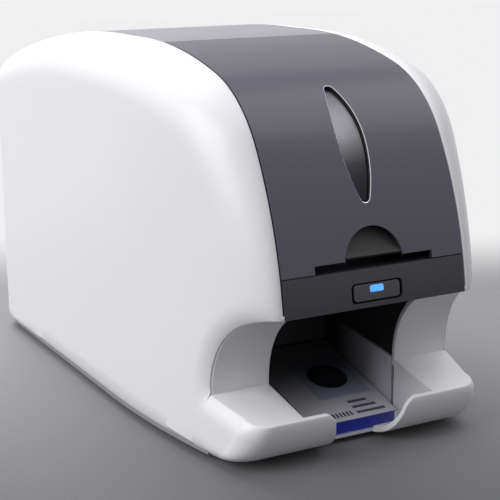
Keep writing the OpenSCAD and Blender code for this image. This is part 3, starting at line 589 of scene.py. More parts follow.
def printed_face(name, band, low_corner, tilt):
    """Printed card under a clear coat: white, with a band, a dark round badge on a pale panel and bars.

    Painted shade darkens the card towards its far end. Real bars are near 0.3 mm apart and wouldn't show, so
    they are drawn 2.2 mm apart.
    """
    mat, tree, shader, where = surface(name, linear("E6E5EF"), 0.28, coat=0.5)
    flat = add(tree, "ShaderNodeVectorMath", {0: where}, operation="SUBTRACT")
    flat.inputs[1].default_value = low_corner
    level = add(tree, "ShaderNodeVectorRotate", {"Vector": flat.outputs["Vector"]}, rotation_type="X_AXIS")
    level.inputs["Angle"].default_value = -tilt
    split = add(tree, "ShaderNodeSeparateXYZ", {"Vector": level.outputs["Vector"]})
    u, v = split.outputs["X"], split.outputs["Y"]

    def within(value, low, high):
        """One between two places, in millimetres, and zero outside."""
        above = add(tree, "ShaderNodeMath", {0: value}, operation="GREATER_THAN")
        above.inputs[1].default_value = low * MM
        below = add(tree, "ShaderNodeMath", {0: value}, operation="LESS_THAN")
        below.inputs[1].default_value = high * MM
        both = add(tree, "ShaderNodeMath", {0: above.outputs[0], 1: below.outputs[0]}, operation="MULTIPLY")
        return both.outputs[0]

    def patch(u0, u1, v0, v1):
        """One inside a rectangle of the card."""
        both = add(tree, "ShaderNodeMath", {0: within(u, u0, u1), 1: within(v, v0, v1)}, operation="MULTIPLY")
        return both.outputs[0]

    def disc(u0, v0, radius):
        """One inside a circle of the card."""
        away = add(tree, "ShaderNodeVectorMath", {0: level.outputs["Vector"]}, operation="MULTIPLY_ADD")
        away.inputs[1].default_value = (1.0, 1.0, 0.0)
        away.inputs[2].default_value = (-u0 * MM, -v0 * MM, 0.0)
        reach = add(tree, "ShaderNodeVectorMath", {0: away.outputs["Vector"]}, operation="LENGTH")
        inside = add(tree, "ShaderNodeMath", {0: reach.outputs["Value"]}, operation="LESS_THAN")
        inside.inputs[1].default_value = radius * MM
        return inside.outputs[0]

    paint = linear("E6E5EF")
    layer = None
    stripes = add(tree, "ShaderNodeTexWave", {"Vector": level.outputs["Vector"]},
                  Scale=1000 * WAVE / BARS_MM, wave_type="BANDS", bands_direction="X")
    bars = add(tree, "ShaderNodeMath", {0: stripes.outputs["Fac"]}, operation="GREATER_THAN")
    bars.inputs[1].default_value = 0.42
    code = add(tree, "ShaderNodeMath", {0: bars.outputs[0], 1: patch(*PRINT_CODE)}, operation="MULTIPLY")
    marks = [(patch(*PRINT_BAND), band), (code.outputs[0], linear("3A3948"))]
    for row in range(3):
        near = ROW_NEAR + 5 * row
        marks.append((patch(ROW_LEFT, ROW_RIGHT - 3 * row, near, near + ROW_HIGH), linear("5C5B70")))
    marks.append((patch(*PRINT_PANEL), linear("C3CCE6")))
    marks.append((disc(*BADGE, BADGE_R), linear("23232B")))
    marks.append((disc(*BADGE, BADGE_CORE_R), linear("3F4152")))
    for factor, ink in marks:
        mix = add(tree, "ShaderNodeMix", {0: factor}, data_type="RGBA")
        if layer is None:
            mix.inputs[6].default_value = paint
        else:
            tree.links.new(layer, mix.inputs[6])
        mix.inputs[7].default_value = ink
        layer = mix.outputs[2]
    # Painted shade: the card darkens towards its far end.
    shade = add(tree, "ShaderNodeMapRange", {"Value": v}, interpolation_type="SMOOTHSTEP",
                **{"From Min": CARD_SHADE_FROM * MM, "From Max": CARD_SHADE_FULL * MM, "To Max": CARD_SHADE_DEPTH})
    painted_shade = add(tree, "ShaderNodeMix", {0: shade.outputs["Result"], 6: layer}, data_type="RGBA")
    painted_shade.inputs[7].default_value = linear("141419")
    tree.links.new(painted_shade.outputs[2], shader.inputs["Base Color"])
    return mat


FINISH = {}


def finishes():
    """All finishes, made once. After a moulded name and colour: roughness, grain in mm, grain depth in mm."""
    FINISH.update(
        # ABS moulded on a fine texture: satin white, with broad soft highlights.
        shell=moulded("satin_white_abs", colour("shell"), 0.36, 0.5, 0.02, tone=0.015),
        # ABS painted charcoal with a satin lacquer: the room shows as a pale sheen on the brow.
        cover=moulded("charcoal_abs", colour("cover"), 0.34, 0.5, 0.02, tone=0.03, ior=1.6),
        # ABS of the scoop, painted near black as shade under its arch: matt.
        scoop=moulded("matt_black_abs", linear("111014"), 0.6, 0.5, 0.02, tone=0.03),
        # Dyed ABS of the bar: darker than the cover, with much the same satin.
        bar=moulded("dark_bar_abs", colour("bar"), 0.36, 0.5, 0.03, tone=0.04),
        # Dyed ABS of the button: smoother than the bar, so its soft edge catches the light.
        button=moulded("button_abs", linear("3B3A43"), 0.3, 0.5, 0.02, tone=0.04),
        # ABS painted light grey, with a coarser texture: an even grey with little gloss.
        lid=moulded("grey_lid_abs", colour("lid"), 0.42, 0.6, 0.04, tone=0.03),
        # Dyed grey ABS of the back and the pan: dull and plain.
        rear=moulded("rear_panel_abs", linear("8A8A90"), 0.5, 0.6, 0.05, tone=0.04),
        # Dyed pale ABS of the bay, matt, with painted shade that turns it black further inside.
        bay=bay_with_painted_shade("bay_abs", linear("C9C9D2"), linear("08080A"), BAY_SHADE_FROM_D, BAY_SHADE_FULL_D),
        # Dyed ABS of the card hopper: pale grey, a little dull.
        box=moulded("pale_grey_abs", linear("B9B9C0"), 0.45, 0.6, 0.04, tone=0.03),
        # Black ABS of the inner parts: matt and deep.
        dark=moulded("inner_black_abs", linear("0B0B0D"), 0.75, 0.6, 0.05, tone=0.1),
        # Blue ABS of the ribbon cage: a colour that tells what comes out for a new ribbon.
        cage=moulded("ribbon_cage_abs", linear("2C4266"), 0.45, 0.6, 0.04, tone=0.05),
        # Zinc coated steel sheet: cool grey with faint lines from the rolling.
        steel=brushed("zinc_sheet_steel", linear("A9ACB2"), 0.38, (1.0, 30.0, 30.0)),
        # Steel rod, ground round: bright, with fine rings.
        rod=brushed("ground_steel", linear("B4B6BA"), 0.25, (60.0, 4.0, 4.0)),
        # Brushed aluminium with a painted reflection: silver above its middle, nearly black at the low end.
        silver=face_with_painted_reflection("smoked_aluminium", 132.0, 184.0),
        # Chrome plated ABS: a thin bright line.
        rim=brushed("chromed_abs", linear("C8C9D0"), 0.2, (10.0, 10.0, 10.0)),
        # Extruded aluminium: soft grey with lines along the fins.
        alloy=brushed("extruded_aluminium", linear("A2A5AA"), 0.4, (1.0, 20.0, 20.0)),
        # Moulded rubber of the feet: black, dull, a little dusty.
        rubber=rubber("black_rubber", linear("202022"), 0.65),
        # Ground rubber of the rollers: dark grey with a soft sheen.
        roller=rubber("roller_rubber", linear("2E3034"), 0.55),
        # Fabric backed rubber of the belt: black and the dullest.
        belt=rubber("belt_rubber", linear("1B1B1C"), 0.7),
        # Glazed ceramic of the print head: tan and glossy.
        ceramic=moulded("glazed_ceramic", linear("8A7A58"), 0.2, 0.8, 0.02, tone=0.1),
        # Dye coated polyester: slick, in bands of amber and plum.
        film=wound_film("dye_coated_polyester"),
        # Clear polycarbonate over a blue diode: it glows.
        light=lit_window("clear_polycarbonate", colour("light")),
        # Glass epoxy under green solder mask: glossy, with pale tracks.
        board=circuit_board("masked_glass_epoxy"),
        # Calendered PVC of blank cards: white and smooth.
        blank=moulded("blank_card_pvc", linear("EDEDF0"), 0.25, 0.6, 0.01, tone=0.02),
    )


# Pieces.

def shell_skin():
    """Right side skin: its outline, the mouth's edge and the bottom edge bound one curved grid."""
    drop = size("edge_drop")
    spine = outline(0.0, MOUTH_C.y + math.sqrt(MOUTH_R ** 2 - MOUTH_C.x ** 2), step=3.5)
    blend = 1.3 * len([p for p in spine if p.y < BROW_C.y + BROW_R * math.sin(BROW_A0)])
    flat = 45
    spine += [Vector((BODY_L, BACK_C.y + (FOOT_Z - BACK_C.y) * i / flat)) for i in range(1, flat + 1)]
    last = len(spine) - 1
    mouth_foot = Vector((MOUTH_C.x + MOUTH_R, MOUTH_C.y))
    corner = Vector((mouth_foot.x, FOOT_Z))
    rear_foot = Vector((BODY_L - drop, FOOT_Z))
    ring, span = 14, 24
    lengths = [0.0]
    for a, b in zip(spine, spine[1:]):
        lengths.append(lengths[-1] + (b - a).length)

    def mouth_arc(depth):
        """Point of the mouth's upper edge at a depth."""
        d = min(depth, mouth_foot.x - 1e-6)
        return Vector((d, MOUTH_C.y + math.sqrt(max(0.0, MOUTH_R ** 2 - (d - MOUTH_C.x) ** 2))))

    begin = math.acos((drop - MOUTH_C.x) / MOUTH_R)
    arc_share = 0.6

    def mouth_edge(t):
        """Point of the whole edge of the mouth, down its arc and straight on to the foot."""
        if t <= arc_share:
            a = begin * (1 - t / arc_share)
            return Vector((MOUTH_C.x + MOUTH_R * math.cos(a), MOUTH_C.y + MOUTH_R * math.sin(a)))
        return mouth_foot.lerp(corner, (t - arc_share) / (1 - arc_share))

    def path(i, j):
        """Side view point of the grid: i along the outline, j from the outline to the foot."""
        weight = max(0.0, 1.0 - i / blend)
        weight = weight * weight * (3 - 2 * weight)
        a, b = spine[max(0, i - 1)], spine[min(last, i + 1)]
        inward = Vector(((b - a).y, -(b - a).x)).normalized()
        depth = drop * (1.0 - math.cos(math.pi / 2 * min(j, ring) / ring))
        start = (spine[i] + inward * depth).lerp(spine[i] + mouth_arc(depth) - mouth_arc(0.0), weight)
        if j <= ring:
            return start
        t = (j - ring) / span
        end = corner.lerp(rear_foot, lengths[i] / lengths[last])
        return start.lerp(end, t) + (mouth_edge(t) - mouth_edge(0.0).lerp(corner, t)) * weight

    def rule(u, v):
        i, j = round(u * last), round(v * (ring + span))
        p = path(i, j)
        return place(skin_x(p.x, p.y, drop) if j else SHELL_X, p.x, p.y)

    obj = sheet("side_skin_right", last, ring + span, rule)
    edit(obj, lambda: bpy.ops.mesh.remove_doubles(threshold=1e-6))
    return outwards(obj)


def bevel_edges(obj, width, wanted, sharp=45.0, segments=3):
    """Edit mode bevel of the sharp edges whose middle point is wanted."""
    pick(obj)
    bpy.ops.object.mode_set(mode="EDIT")
    bpy.ops.mesh.select_all(action="DESELECT")
    bpy.ops.mesh.select_mode(type="EDGE")
    mesh = bmesh.from_edit_mesh(obj.data)
    for edge in mesh.edges:
        middle = (edge.verts[0].co + edge.verts[1].co) / 2 / MM
        if edge.is_manifold and edge.calc_face_angle() > math.radians(sharp):
            edge.select_set(wanted(middle.x, middle.y - FRONT_Y, middle.z))
    bmesh.update_edit_mesh(obj.data)
    bpy.ops.mesh.bevel(offset=width * MM, segments=segments, profile=0.5, clamp_overlap=False)
    bpy.ops.mesh.select_mode(type="VERT")
    bpy.ops.object.mode_set(mode="OBJECT")
    return smooth(obj)


class PRINTER_OT_side_shells(bpy.types.Operator):
    """Two white side shells: skin, mouth wall and cheek each"""
    bl_idname = "printer.side_shells"
    bl_label = "Side Shells"

    def execute(self, context):
        skin = shell_skin()
        use(skin, "SOLIDIFY", thickness=size("wall") * MM, offset=-1.0, use_even_offset=True)
        bevel_edges(skin, size("edge_soft"),
                    lambda x, d, z: z > MOUTH_C.y + 1 and (x < SHELL_X + 3 or d < 42))
        wall = mouth_wall()
        front = cheek()
        for obj, name in ((skin, "side_skin"), (wall, "mouth_wall"), (front, "cheek")):
            left = mirrored(obj, name + "_left")
            done(obj, FINISH["shell"], "base", "white", "right_shell")
            done(left, FINISH["shell"], "base", "white", "left_shell")
        return {"FINISHED"}


def mouth_wall():
    """Curved wall behind and above the mouth, from the bay to the side."""
    r, drop, lead = MOUTH_R - 0.05, 7.0, 0.06

    def rule(u, v):
        turn = v * (1 + drop / (r * math.pi / 2))
        if turn <= 1:
            a = math.pi / 2 * turn + (1 - turn) * lead
            d, z = MOUTH_C.x + r * math.sin(a), MOUTH_C.y + r * math.cos(a)
        else:
            d, z = MOUTH_C.x + r, MOUTH_C.y - (turn - 1) * r * math.pi / 2
        x1 = skin_x(max(d, 0.3), z, size("edge_drop")) - 0.75
        return place(BAY_X + (x1 - BAY_X) * u, d, z)

    obj = sheet("mouth_wall_right", 24, 40, rule)
    use(obj, "SOLIDIFY", thickness=size("wall") * MM, offset=1.0, use_even_offset=True)
    outwards(obj)
    return soften(obj, 0.5, angle=50)


def notch_x(z):
    """Half width of the notch in the lip at a height."""
    corner_z = LIP_C.y - NOTCH_R + NOTCH_RISE
    if z < corner_z:
        return NOTCH_LOW + (NOTCH_TOP - NOTCH_LOW) * max(0.0, z - FOOT_Z) / (corner_z - FOOT_Z)
    return NOTCH_TOP + NOTCH_R - math.sqrt(max(0.0, NOTCH_R ** 2 - (z - corner_z) ** 2))


def cheek():
    """Front block beside the bay in one curved sheet: inner wall, sloping tray, curled lip and flank."""
    back, wall, corner = MOUTH_C.x + MOUTH_R, size("wall"), size("lip_corner")
    sides, bends, fronts, lips = 16, 12, 6, 13
    bay_end = sides + bends + fronts
    last = bay_end + lips
    downs, tops = 14, 3
    curl_start = bay_end - downs
    tray_back = back + 0.4

    def lip_x(i, z):
        """Half width along the lip, between the bay's edge and the notch."""
        return BAY_X + (notch_x(z) - BAY_X) * (i - bay_end - 1) / (lips - 1)

    def plan(i, front, z):
        """Point of the outer outline at a height whose lip starts at a depth."""
        if i > bay_end:
            return Vector((lip_x(i, z), front))
        edge = flank_x(front + corner, z)
        if i <= sides:
            d = back + (front + corner - back) * i / sides
            return Vector((flank_x(d, z), d))
        i -= sides
        if i <= bends:
            a = math.pi / 2 * i / bends
            return Vector((edge - corner * (1 - math.cos(a)), front + corner * (1 - math.sin(a))))
        i -= bends
        return Vector((edge - corner + (BAY_X - edge + corner) * i / fronts, front))

    def outer(i, t):
        """Point of the flank or the lip's outer face, from the tray down to the foot."""
        a = math.pi / 2 * t
        front = LIP_C.x - LIP_R * math.cos(a)
        z = LIP_C.y - LIP_R * math.sin(a)
        level = (z - FOOT_Z) / (LIP_C.y - FOOT_Z)
        p = plan(i, front, LIP_C.y)
        for _ in range(3):
            if i < sides + bends:
                z = FOOT_Z + level * (tray_z(max(p.y, LIP_D)) - FOOT_Z)
            p = plan(i, front, z)
        return Vector((p.x, p.y, z))

    def curl(t):
        """Side view point of the lip's inner face, from the rim down to the foot."""
        a = math.pi / 2 * t
        d = LIP_C.x - (LIP_R - wall) * math.cos(a)
        return d, LIP_C.y - (LIP_R - wall) * math.sin(a) + (tray_z(d) - LIP_C.y) * (1 - t)

    def inner(i, t):
        """Point of the bay's wall or the lip's inner face, from the tray down."""
        if i <= bay_end:
            d, low = curl(min(1.0, (bay_end - i) / downs))
            if i < curl_start:
                d = tray_back + (d - tray_back) * i / curl_start
            return Vector((BAY_X, d, tray_z(d) + (low - tray_z(d)) * t))
        d, z = curl(t)
        return Vector((lip_x(i, z), d, z))

    def rule(u, v):
        i, j = round(u * last), round(v * (2 * downs + tops))
        if j <= downs:
            p = inner(i, 1 - j / downs)
        elif j < downs + tops:
            a, b = inner(i, 0), outer(i, 0)
            p = a.lerp(b, (j - downs) / tops)
            p.z = tray_z(p.y)
            if i > bay_end:
                p.x = lip_x(i, p.z)
        else:
            p = outer(i, (j - downs - tops) / downs)
        return place(p.x, p.y, p.z)

    obj = sheet("cheek_right", last, 2 * downs + tops, rule)
    pick(obj)
    bpy.ops.object.mode_set(mode="EDIT")
    mesh = bmesh.from_edit_mesh(obj.data)
    mesh.verts.ensure_lookup_table()
    wide = last + 1
    high = 2 * downs + tops
    # The lip's end at the notch, and the underside from the inner foot to the outer foot.
    for j in range(downs):
        rows = (j, j + 1, high - j - 1, high - j) if j < downs - 1 else range(j, high - j + 1)
        mesh.faces.new([mesh.verts[last + wide * k] for k in rows])
    for i in range(last):
        foot = [i + 1 + wide * high, i + wide * high]
        if curl_start <= i < bay_end:
            mesh.faces.new([mesh.verts[k] for k in [curl_start] + foot])
        elif i != bay_end:
            mesh.faces.new([mesh.verts[k] for k in [i, i + 1] + foot])
    mesh.verts.index_update()
    # The bay's wall ends on the lip's curl, so the fan that the grid lays between the two comes out.
    fan = [f for f in mesh.faces
           if all(v.index % wide in (bay_end, bay_end + 1) and v.index // wide <= downs for v in f.verts)]
    bmesh.ops.delete(mesh, geom=fan, context="FACES_ONLY")
    bmesh.update_edit_mesh(obj.data)
    bpy.ops.object.mode_set(mode="OBJECT")
    edit(obj, lambda: bpy.ops.mesh.remove_doubles(threshold=1e-6))
    outwards(obj)

    def soft(x, d, z):
        """The tray's edges, and the lip's edges down to the foot."""
        return d < back - 0.2 and z > tray_z(d) - 0.3 or x < BAY_X - 1 and z > FOOT_Z + 1
    return bevel_edges(obj, 0.7, soft, sharp=50)


def strip(a, b):
    """Closed side view ring between an outer and an inner run of points."""
    return list(a) + list(reversed(b))


def run_between(inset, low_z, stop):
    """Outline points from low_z up to where stop says so."""
    points = []
    for p in outline(inset, low_z, step=3.0):
        if stop(p):
            break
        points.append(p)
    return points


def circle_meet(inset, centre, radius, after=0.0):
    """Rearmost outline point on a circle round centre."""
    best = None
    for p in outline(inset, SEAM_Z, step=0.15):
        if p.x > after and abs((p - centre).length - radius) < 0.12:
            best = p
    return best


def lens_ring(grow, depth):
    """Outline of the release in its tilted plane: two arcs with round tips, grown, and pushed in by depth."""
    half_l, half_w, tip = size("lens_l") / 2, size("lens_w") / 2, size("lens_tip")
    r = ((half_l - tip) ** 2 + half_w ** 2 - tip ** 2) / (2 * half_w - 2 * tip)
    reach = math.acos((r - half_w) / (r - tip))
    tip_z = (r - tip) * math.sin(reach)
    sides, bends = 32, 8
    upper = []
    for i in range(sides + 1):
        a = reach * i / sides
        upper.append(((r + grow) * math.cos(a) - r + half_w, (r + grow) * math.sin(a)))
    for i in range(1, bends + 1):
        a = reach + (math.pi / 2 - reach) * i / bends
        upper.append(((tip + grow) * math.cos(a), tip_z + (tip + grow) * math.sin(a)))
    right = [(x, -z) for x, z in reversed(upper[1:])] + upper
    flat = right + [(-x, -z) for x, z in right[1:-1]]
    base = LENS_C + LENS_IN * depth
    return [place(x, base.x + LENS_UP.x * z, base.y + LENS_UP.y * z) for x, z in flat]


def lens_tool(grow):
    """Tool that cuts the release's opening through the cover."""
    return prism("lens_tool", lens_ring(grow, -20), Vector((0, LENS_IN.x, LENS_IN.y)) * 44 * MM)


def arch_points(radius, low):
    """Front view outline of the finger arch, from a low line up."""
    points = [(-radius, low), (radius, low)]
    for i in range(0, 41):
        a = math.pi * i / 40
        points.append((radius * math.cos(a), ARCH_Z + radius * math.sin(a)))
    return points


def keep_under(obj, inset, half_w):
    """Trims what stands within an inset of the skin, or further out than half_w."""
    keep = outline(inset, SEAM_Z, step=4.0)
    low = SEAM_Z - 30
    return cut(obj, across("under_skin", keep + [Vector((BODY_L - 40, low)), Vector((keep[0].x, low))],
                           -half_w, half_w), "INTERSECT")


class PRINTER_OT_front_cover(bpy.types.Operator):
    """Curved front cover with its finger arch, card slot and release well"""
    bl_idname = "printer.front_cover"
    bl_label = "Front Cover"

    def execute(self, context):
        wall = size("wall")

        def past(p):
            """Behind the hinge, where the cover ends on its barrel."""
            return p.x > HINGE.x and (p - HINGE).length > BARREL_R
        outer = run_between(0.0, SEAM_Z + 0.5, past)
        inner = run_between(wall, SEAM_Z + 0.5, past)
        outer.append(circle_meet(0.0, HINGE, BARREL_R, HINGE.x))
        inner.append(circle_meet(wall, HINGE, BARREL_R, HINGE.x))
        skin = across("front_cover_skin", strip(outer, inner), -BAND_X, BAND_X)
        cut(skin, lens_tool(LENS_GAP))
        cut(skin, front_back("arch_tool", arch_points(size("arch_r"), SEAM_Z - 5), AHEAD, INSIDE))
        cut(skin, block("slot_tool", (-SLOT_X, AHEAD, SEAM_Z - 5), (SLOT_X, INSIDE, SLOT_TOP)))
        soften(skin, size("cover_soft"), angle=40, segments=2)
        done(skin, FINISH["cover"], "cover", "charcoal", "top_cover")
        done(scoop(), FINISH["scoop"], "cover", "charcoal", "top_cover")
        done(lens_rim(), FINISH["rim"], "cover", "silver")
        done(lens_well(), FINISH["dark"], "cover", "black")
        done(cover_arms(), FINISH["dark"], "cover", "charcoal", "top_cover")
        return {"FINISHED"}


def scoop():
    """Finger scoop: a ramp that leans back from the slot up under the arch, with its side wall."""
    r = size("arch_r") + 0.1

    def rule(u, v):
        x = r * math.cos(math.pi * (1 - u))
        top = ARCH_Z + math.sqrt(max(0.0, r * r - x * x))
        z = RAMP_Z + (top - RAMP_Z) * v if top > RAMP_Z else top
        rise = (z - RAMP_Z) / (ARCH_Z + r - RAMP_Z)
        return place(x, RAMP_D + RAMP_DEEP * max(0.0, rise) ** 0.75, z)

    ramp = sheet("finger_scoop", 40, 16, rule)
    use(ramp, "SOLIDIFY", thickness=1.4 * MM, offset=0.0)
    collar = front_back("arch_collar", arch_points(size("arch_r") + 1.6, SLOT_TOP + 0.1), 4.0, 16)
    cut(collar, front_back("collar_bore", arch_points(size("arch_r"), SEAM_Z - 9), AHEAD, 30))
    keep_under(collar, 1.2, 40)
    piece = join("finger_scoop", ramp, collar)
    outwards(piece)
    return smooth(piece, 35)


def lens_loop(name, grow0, sink0, grow1, sink1):
    """Band that follows the release's outline between two offsets and two depths under the skin."""
    outer, inner = lens_ring(grow0, 0), lens_ring(grow1, 0)
    count = len(outer)

    def rule(u, v):
        i = round(u * count) % count
        return sunk(outer[i], sink0).lerp(sunk(inner[i], sink1), v)

    obj = sheet(name, count, 3, rule)
    edit(obj, lambda: bpy.ops.mesh.remove_doubles(threshold=1e-6))
    return outwards(obj)


def signed_inset(d, z):
    """Inset that is negative outside the skin, for points near the front."""
    for centre, radius, a0, a1 in ARCS[:3]:
        a = math.atan2(z - centre.y, centre.x - d)
        if a0 <= a <= a1:
            return radius - math.hypot(d - centre.x, z - centre.y)
    return 0.0


def sink_to(d, z, depth):
    """Side view point, moved along the release's normal until it lies depth under the skin."""
    for _ in range(6):
        gap = signed_inset(d, z) - depth
        d, z = d - LENS_IN.x * gap, z - LENS_IN.y * gap
    return d, z


def sunk(point, depth):
    """Point in metres, moved in the same way."""
    return place(point.x / MM, *sink_to(point.y / MM - FRONT_Y, point.z / MM, depth))


def under_skin(along, depth):
    """Side view point, along the release from its centre, then depth in along its normal from the skin."""
    return Vector(sink_to(*(LENS_C + LENS_UP * along), 0.0)) + LENS_IN * depth


def lens_rim():
    """Thin bright line round the release, flush with the cover."""
    rim = lens_loop("release_rim", 0.6, 0.0, 0.15, 0.25)
    return smooth(use(rim, "SOLIDIFY", thickness=0.3 * MM, offset=-1.0), 60)


def lens_well():
    """Dark wall of the well round the release."""
    well = lens_loop("release_well", 0.3, 0.45, 0.2, 6.5)
    return smooth(use(well, "SOLIDIFY", thickness=0.4 * MM, offset=0.0), 60)


class PRINTER_OT_release(bpy.types.Operator):
    """Lens shaped release: a brushed face that follows the cover, dished a little"""
    bl_idname = "printer.release"
    bl_label = "Release Button"

    def execute(self, context):
        ring = lens_ring(-0.5, 0)
        rows = len(ring) // 2
        right, left = ring[:rows + 1], [ring[0]] + list(reversed(ring[rows + 1:])) + [ring[rows]]

        def rule(u, v):
            i = round(v * rows)
            share = (right[i] - left[i]).length / MM / size("lens_w")
            dish = FACE_DISH * (1 - (2 * u - 1) ** 2) * share
            return sunk(left[i].lerp(right[i], u), FACE_SINK + dish)

        face = sheet("release_face", 12, rows, rule)
        edit(face, lambda: bpy.ops.mesh.remove_doubles(threshold=1e-6))
        inward = -1.0 if face.data.polygons[0].normal.y < 0 else 1.0
        use(face, "SOLIDIFY", thickness=FACE_T * MM, offset=inward)
        outwards(face)
        smooth(face, 40)
        done(face, FINISH["silver"], "release", "silver", "release_button")
        ring = [under_skin(STEM_LOW, STEM_TOP), under_skin(STEM_HIGH, STEM_TOP),
                under_skin(STEM_HIGH, STEM_END), under_skin(STEM_LOW, STEM_END)]
        stem = across("release_stem", ring, -STEM_X, STEM_X)
        soften(stem, 0.4)
        done(stem, FINISH["dark"], "release", "black", "release_button")
        return {"FINISHED"}


def cover_arms():
    """Hinge arms and latch ears under the cover, kept from the frame's own part."""
    arms = node_copy("top_cover", "cover_arms")
    keep_under(arms, size("wall") + 0.1, ARM_X[1])
    cut(arms, block("middle", (-ARM_X[0], 0, 60), (ARM_X[0], 200, 220)))
    return smooth(arms, 35)


def node_copy(node, name, merge=True):
    """Own mesh made from a node's mesh, with its flat triangles merged where asked."""
    clean_view()
    source = frame["nodes"][node]
    obj = bpy.data.objects.new(name, source.data.copy())
    bpy.context.scene.collection.objects.link(obj)
    obj.data.materials.clear()
    edit(obj, lambda: bpy.ops.mesh.remove_doubles(threshold=2e-6))
    if merge:
        use(obj, "DECIMATE", decimate_type="DISSOLVE", angle_limit=math.radians(0.6))
    return obj


def dressed(node, finish, body, slot, width=0.3, angle=38, merge=True):
    """A node's shape with softened edges and its finish."""
    obj = node_copy(node, node + "_soft", merge)
    soften(obj, width, angle=angle, segments=2)
    return done(obj, FINISH[finish], body, slot, node)


class PRINTER_OT_front_bar(bpy.types.Operator):
    """Dark bar under the cover, its power button and the lit window"""
    bl_idname = "printer.front_bar"
    bl_label = "Front Bar"

    def execute(self, context):
        outer = [p for p in outline(0.0, BAR_Z, step=2.0) if p.y < SEAM_Z - 0.4]
        top = outline(0.0, SEAM_Z, step=2.0)[0]
        ring = outer + [top, Vector((BAR_DEEP, SEAM_Z)), Vector((BAR_DEEP, BAR_Z))]
        bar = across("bar_skin", ring, -BAND_X, BAND_X)
        wall = size("wall")
        hollow = [p for p in outline(wall, BAR_Z, step=2.0) if BAR_Z + wall < p.y < SEAM_Z - wall]
        hollow += [Vector((BAR_DEEP + 8, SEAM_Z - wall)), Vector((BAR_DEEP + 8, BAR_Z + wall))]
        cut(bar, across("bar_hollow", hollow, -60, 60))
        cut(bar, front_back("button_hole", rounded(*BUTTON_HOLE), AHEAD, 9.5))
        for side in (-1, 1):
            low, high = sorted(side * x for x in HOOK_X)
            cut(bar, block("hook_slot", (low, HOOK_D[0], SEAM_Z - wall - 1), (high, HOOK_D[1], SEAM_Z + 2)))
        soften(bar, size("cover_soft"), angle=40, segments=2)
        done(bar, FINISH["bar"], "base", "bar_dark", "front_bar")
        button = cap("power_button_cap", rounded(*BUTTON_CAP), 0.15, 5.4)
        cut(button, front_back("window_hole", rounded(*WINDOW_HOLE, WINDOW_LIFT), AHEAD, 3))
        soften(button, 0.45, angle=40)
        done(button, FINISH["button"], "power", "button_dark", "power_button")
        window = cap("status_window_cap", rounded(*WINDOW_CAP, WINDOW_LIFT), 0.1, 3.4)
        soften(window, 0.25, angle=40, segments=2)
        done(window, FINISH["light"], "power", "light_blue", "status_light")
        return {"FINISHED"}


def cap(name, ring, inset, back_d):
    """Front view outline made a cap that follows the bar's face, inset from it and back to a depth."""
    obj = front_back(name, ring, AHEAD, 9)
    low, high = BAR_Z - 4, SEAM_Z + 4
    face = [p for p in outline(inset, low, step=2.0) if p.y < high]
    ring = face + [Vector((back_d, high)), Vector((back_d, low))]
    return cut(obj, across("cap_sides", ring, -30, 30), "INTERSECT")


def rounded(half_w, half_h, r, lift=0.0):
    """Rounded rectangle in front view round the button's centre."""
    points = []
    for k, (sx, sz) in enumerate(((1, -1), (1, 1), (-1, 1), (-1, -1))):
        for i in range(7):
            a = math.pi / 2 * (k - 1 + i / 6)
            points.append((sx * (half_w - r) + r * math.cos(a),
                           BUTTON_Z + lift + sz * (half_h - r) + r * math.sin(a)))
    return points


class PRINTER_OT_rear_skin(bpy.types.Operator):
    """Rear lid and rear panel of the middle band"""
    bl_idname = "printer.rear_skin"
    bl_label = "Rear Skin"

    def execute(self, context):
        dressed("rear_lid", "lid", "lid", "slate", 0.35)
        dressed("rear_panel", "rear", "base", "slate", 0.3, merge=False)
        dressed("base_pan", "rear", "base", "slate", 0.3)
        return {"FINISHED"}


class PRINTER_OT_bay(bpy.types.Operator):
    """Card bay, exit guide and the printed card with its rounded corners"""
    bl_idname = "printer.bay"
    bl_label = "Card Bay"

    def execute(self, context):
        dressed("output_bin", "bay", "base", "bin_grey", 0.4)
        # Black exit guide over the bay's rear third: a dark piece set there as painted shade, so that part of
        # the bay stays dark.
        dressed("exit_guide", "dark", "base", "black", 0.3)
        low = Vector(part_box("printed_card")[0]) / MM
        along = Vector((0, math.cos(CARD_A), math.sin(CARD_A)))
        above = Vector((0, -math.sin(CARD_A), math.cos(CARD_A)))
        front = Vector((low.x, low.y - FRONT_Y + CARD_T * math.sin(CARD_A), low.z))
        w, l, r = CARD_W, CARD_L, CARD_R
        ring = []
        for k, (cx, cy) in enumerate(((w - r, r), (w - r, l - r), (r, l - r), (r, r))):
            for i in range(9):
                a = math.pi / 2 * (k - 1 + i / 8)
                corner = front + Vector((cx + r * math.cos(a), 0, 0)) + along * (cy + r * math.sin(a))
                ring.append(place(*corner))
        card = prism("printed_card_face", ring, above * CARD_T * MM)
        soften(card, 0.12, angle=50, segments=2)
        # PVC card, printed and laminated: white and glossy, with its print under a clear coat and painted
        # shade towards its far end.
        face = printed_face("printed_pvc", colour("card_band"), tuple(place(*front)), CARD_A)
        done(card, face, "base", "card_white", "printed_card")
        return {"FINISHED"}


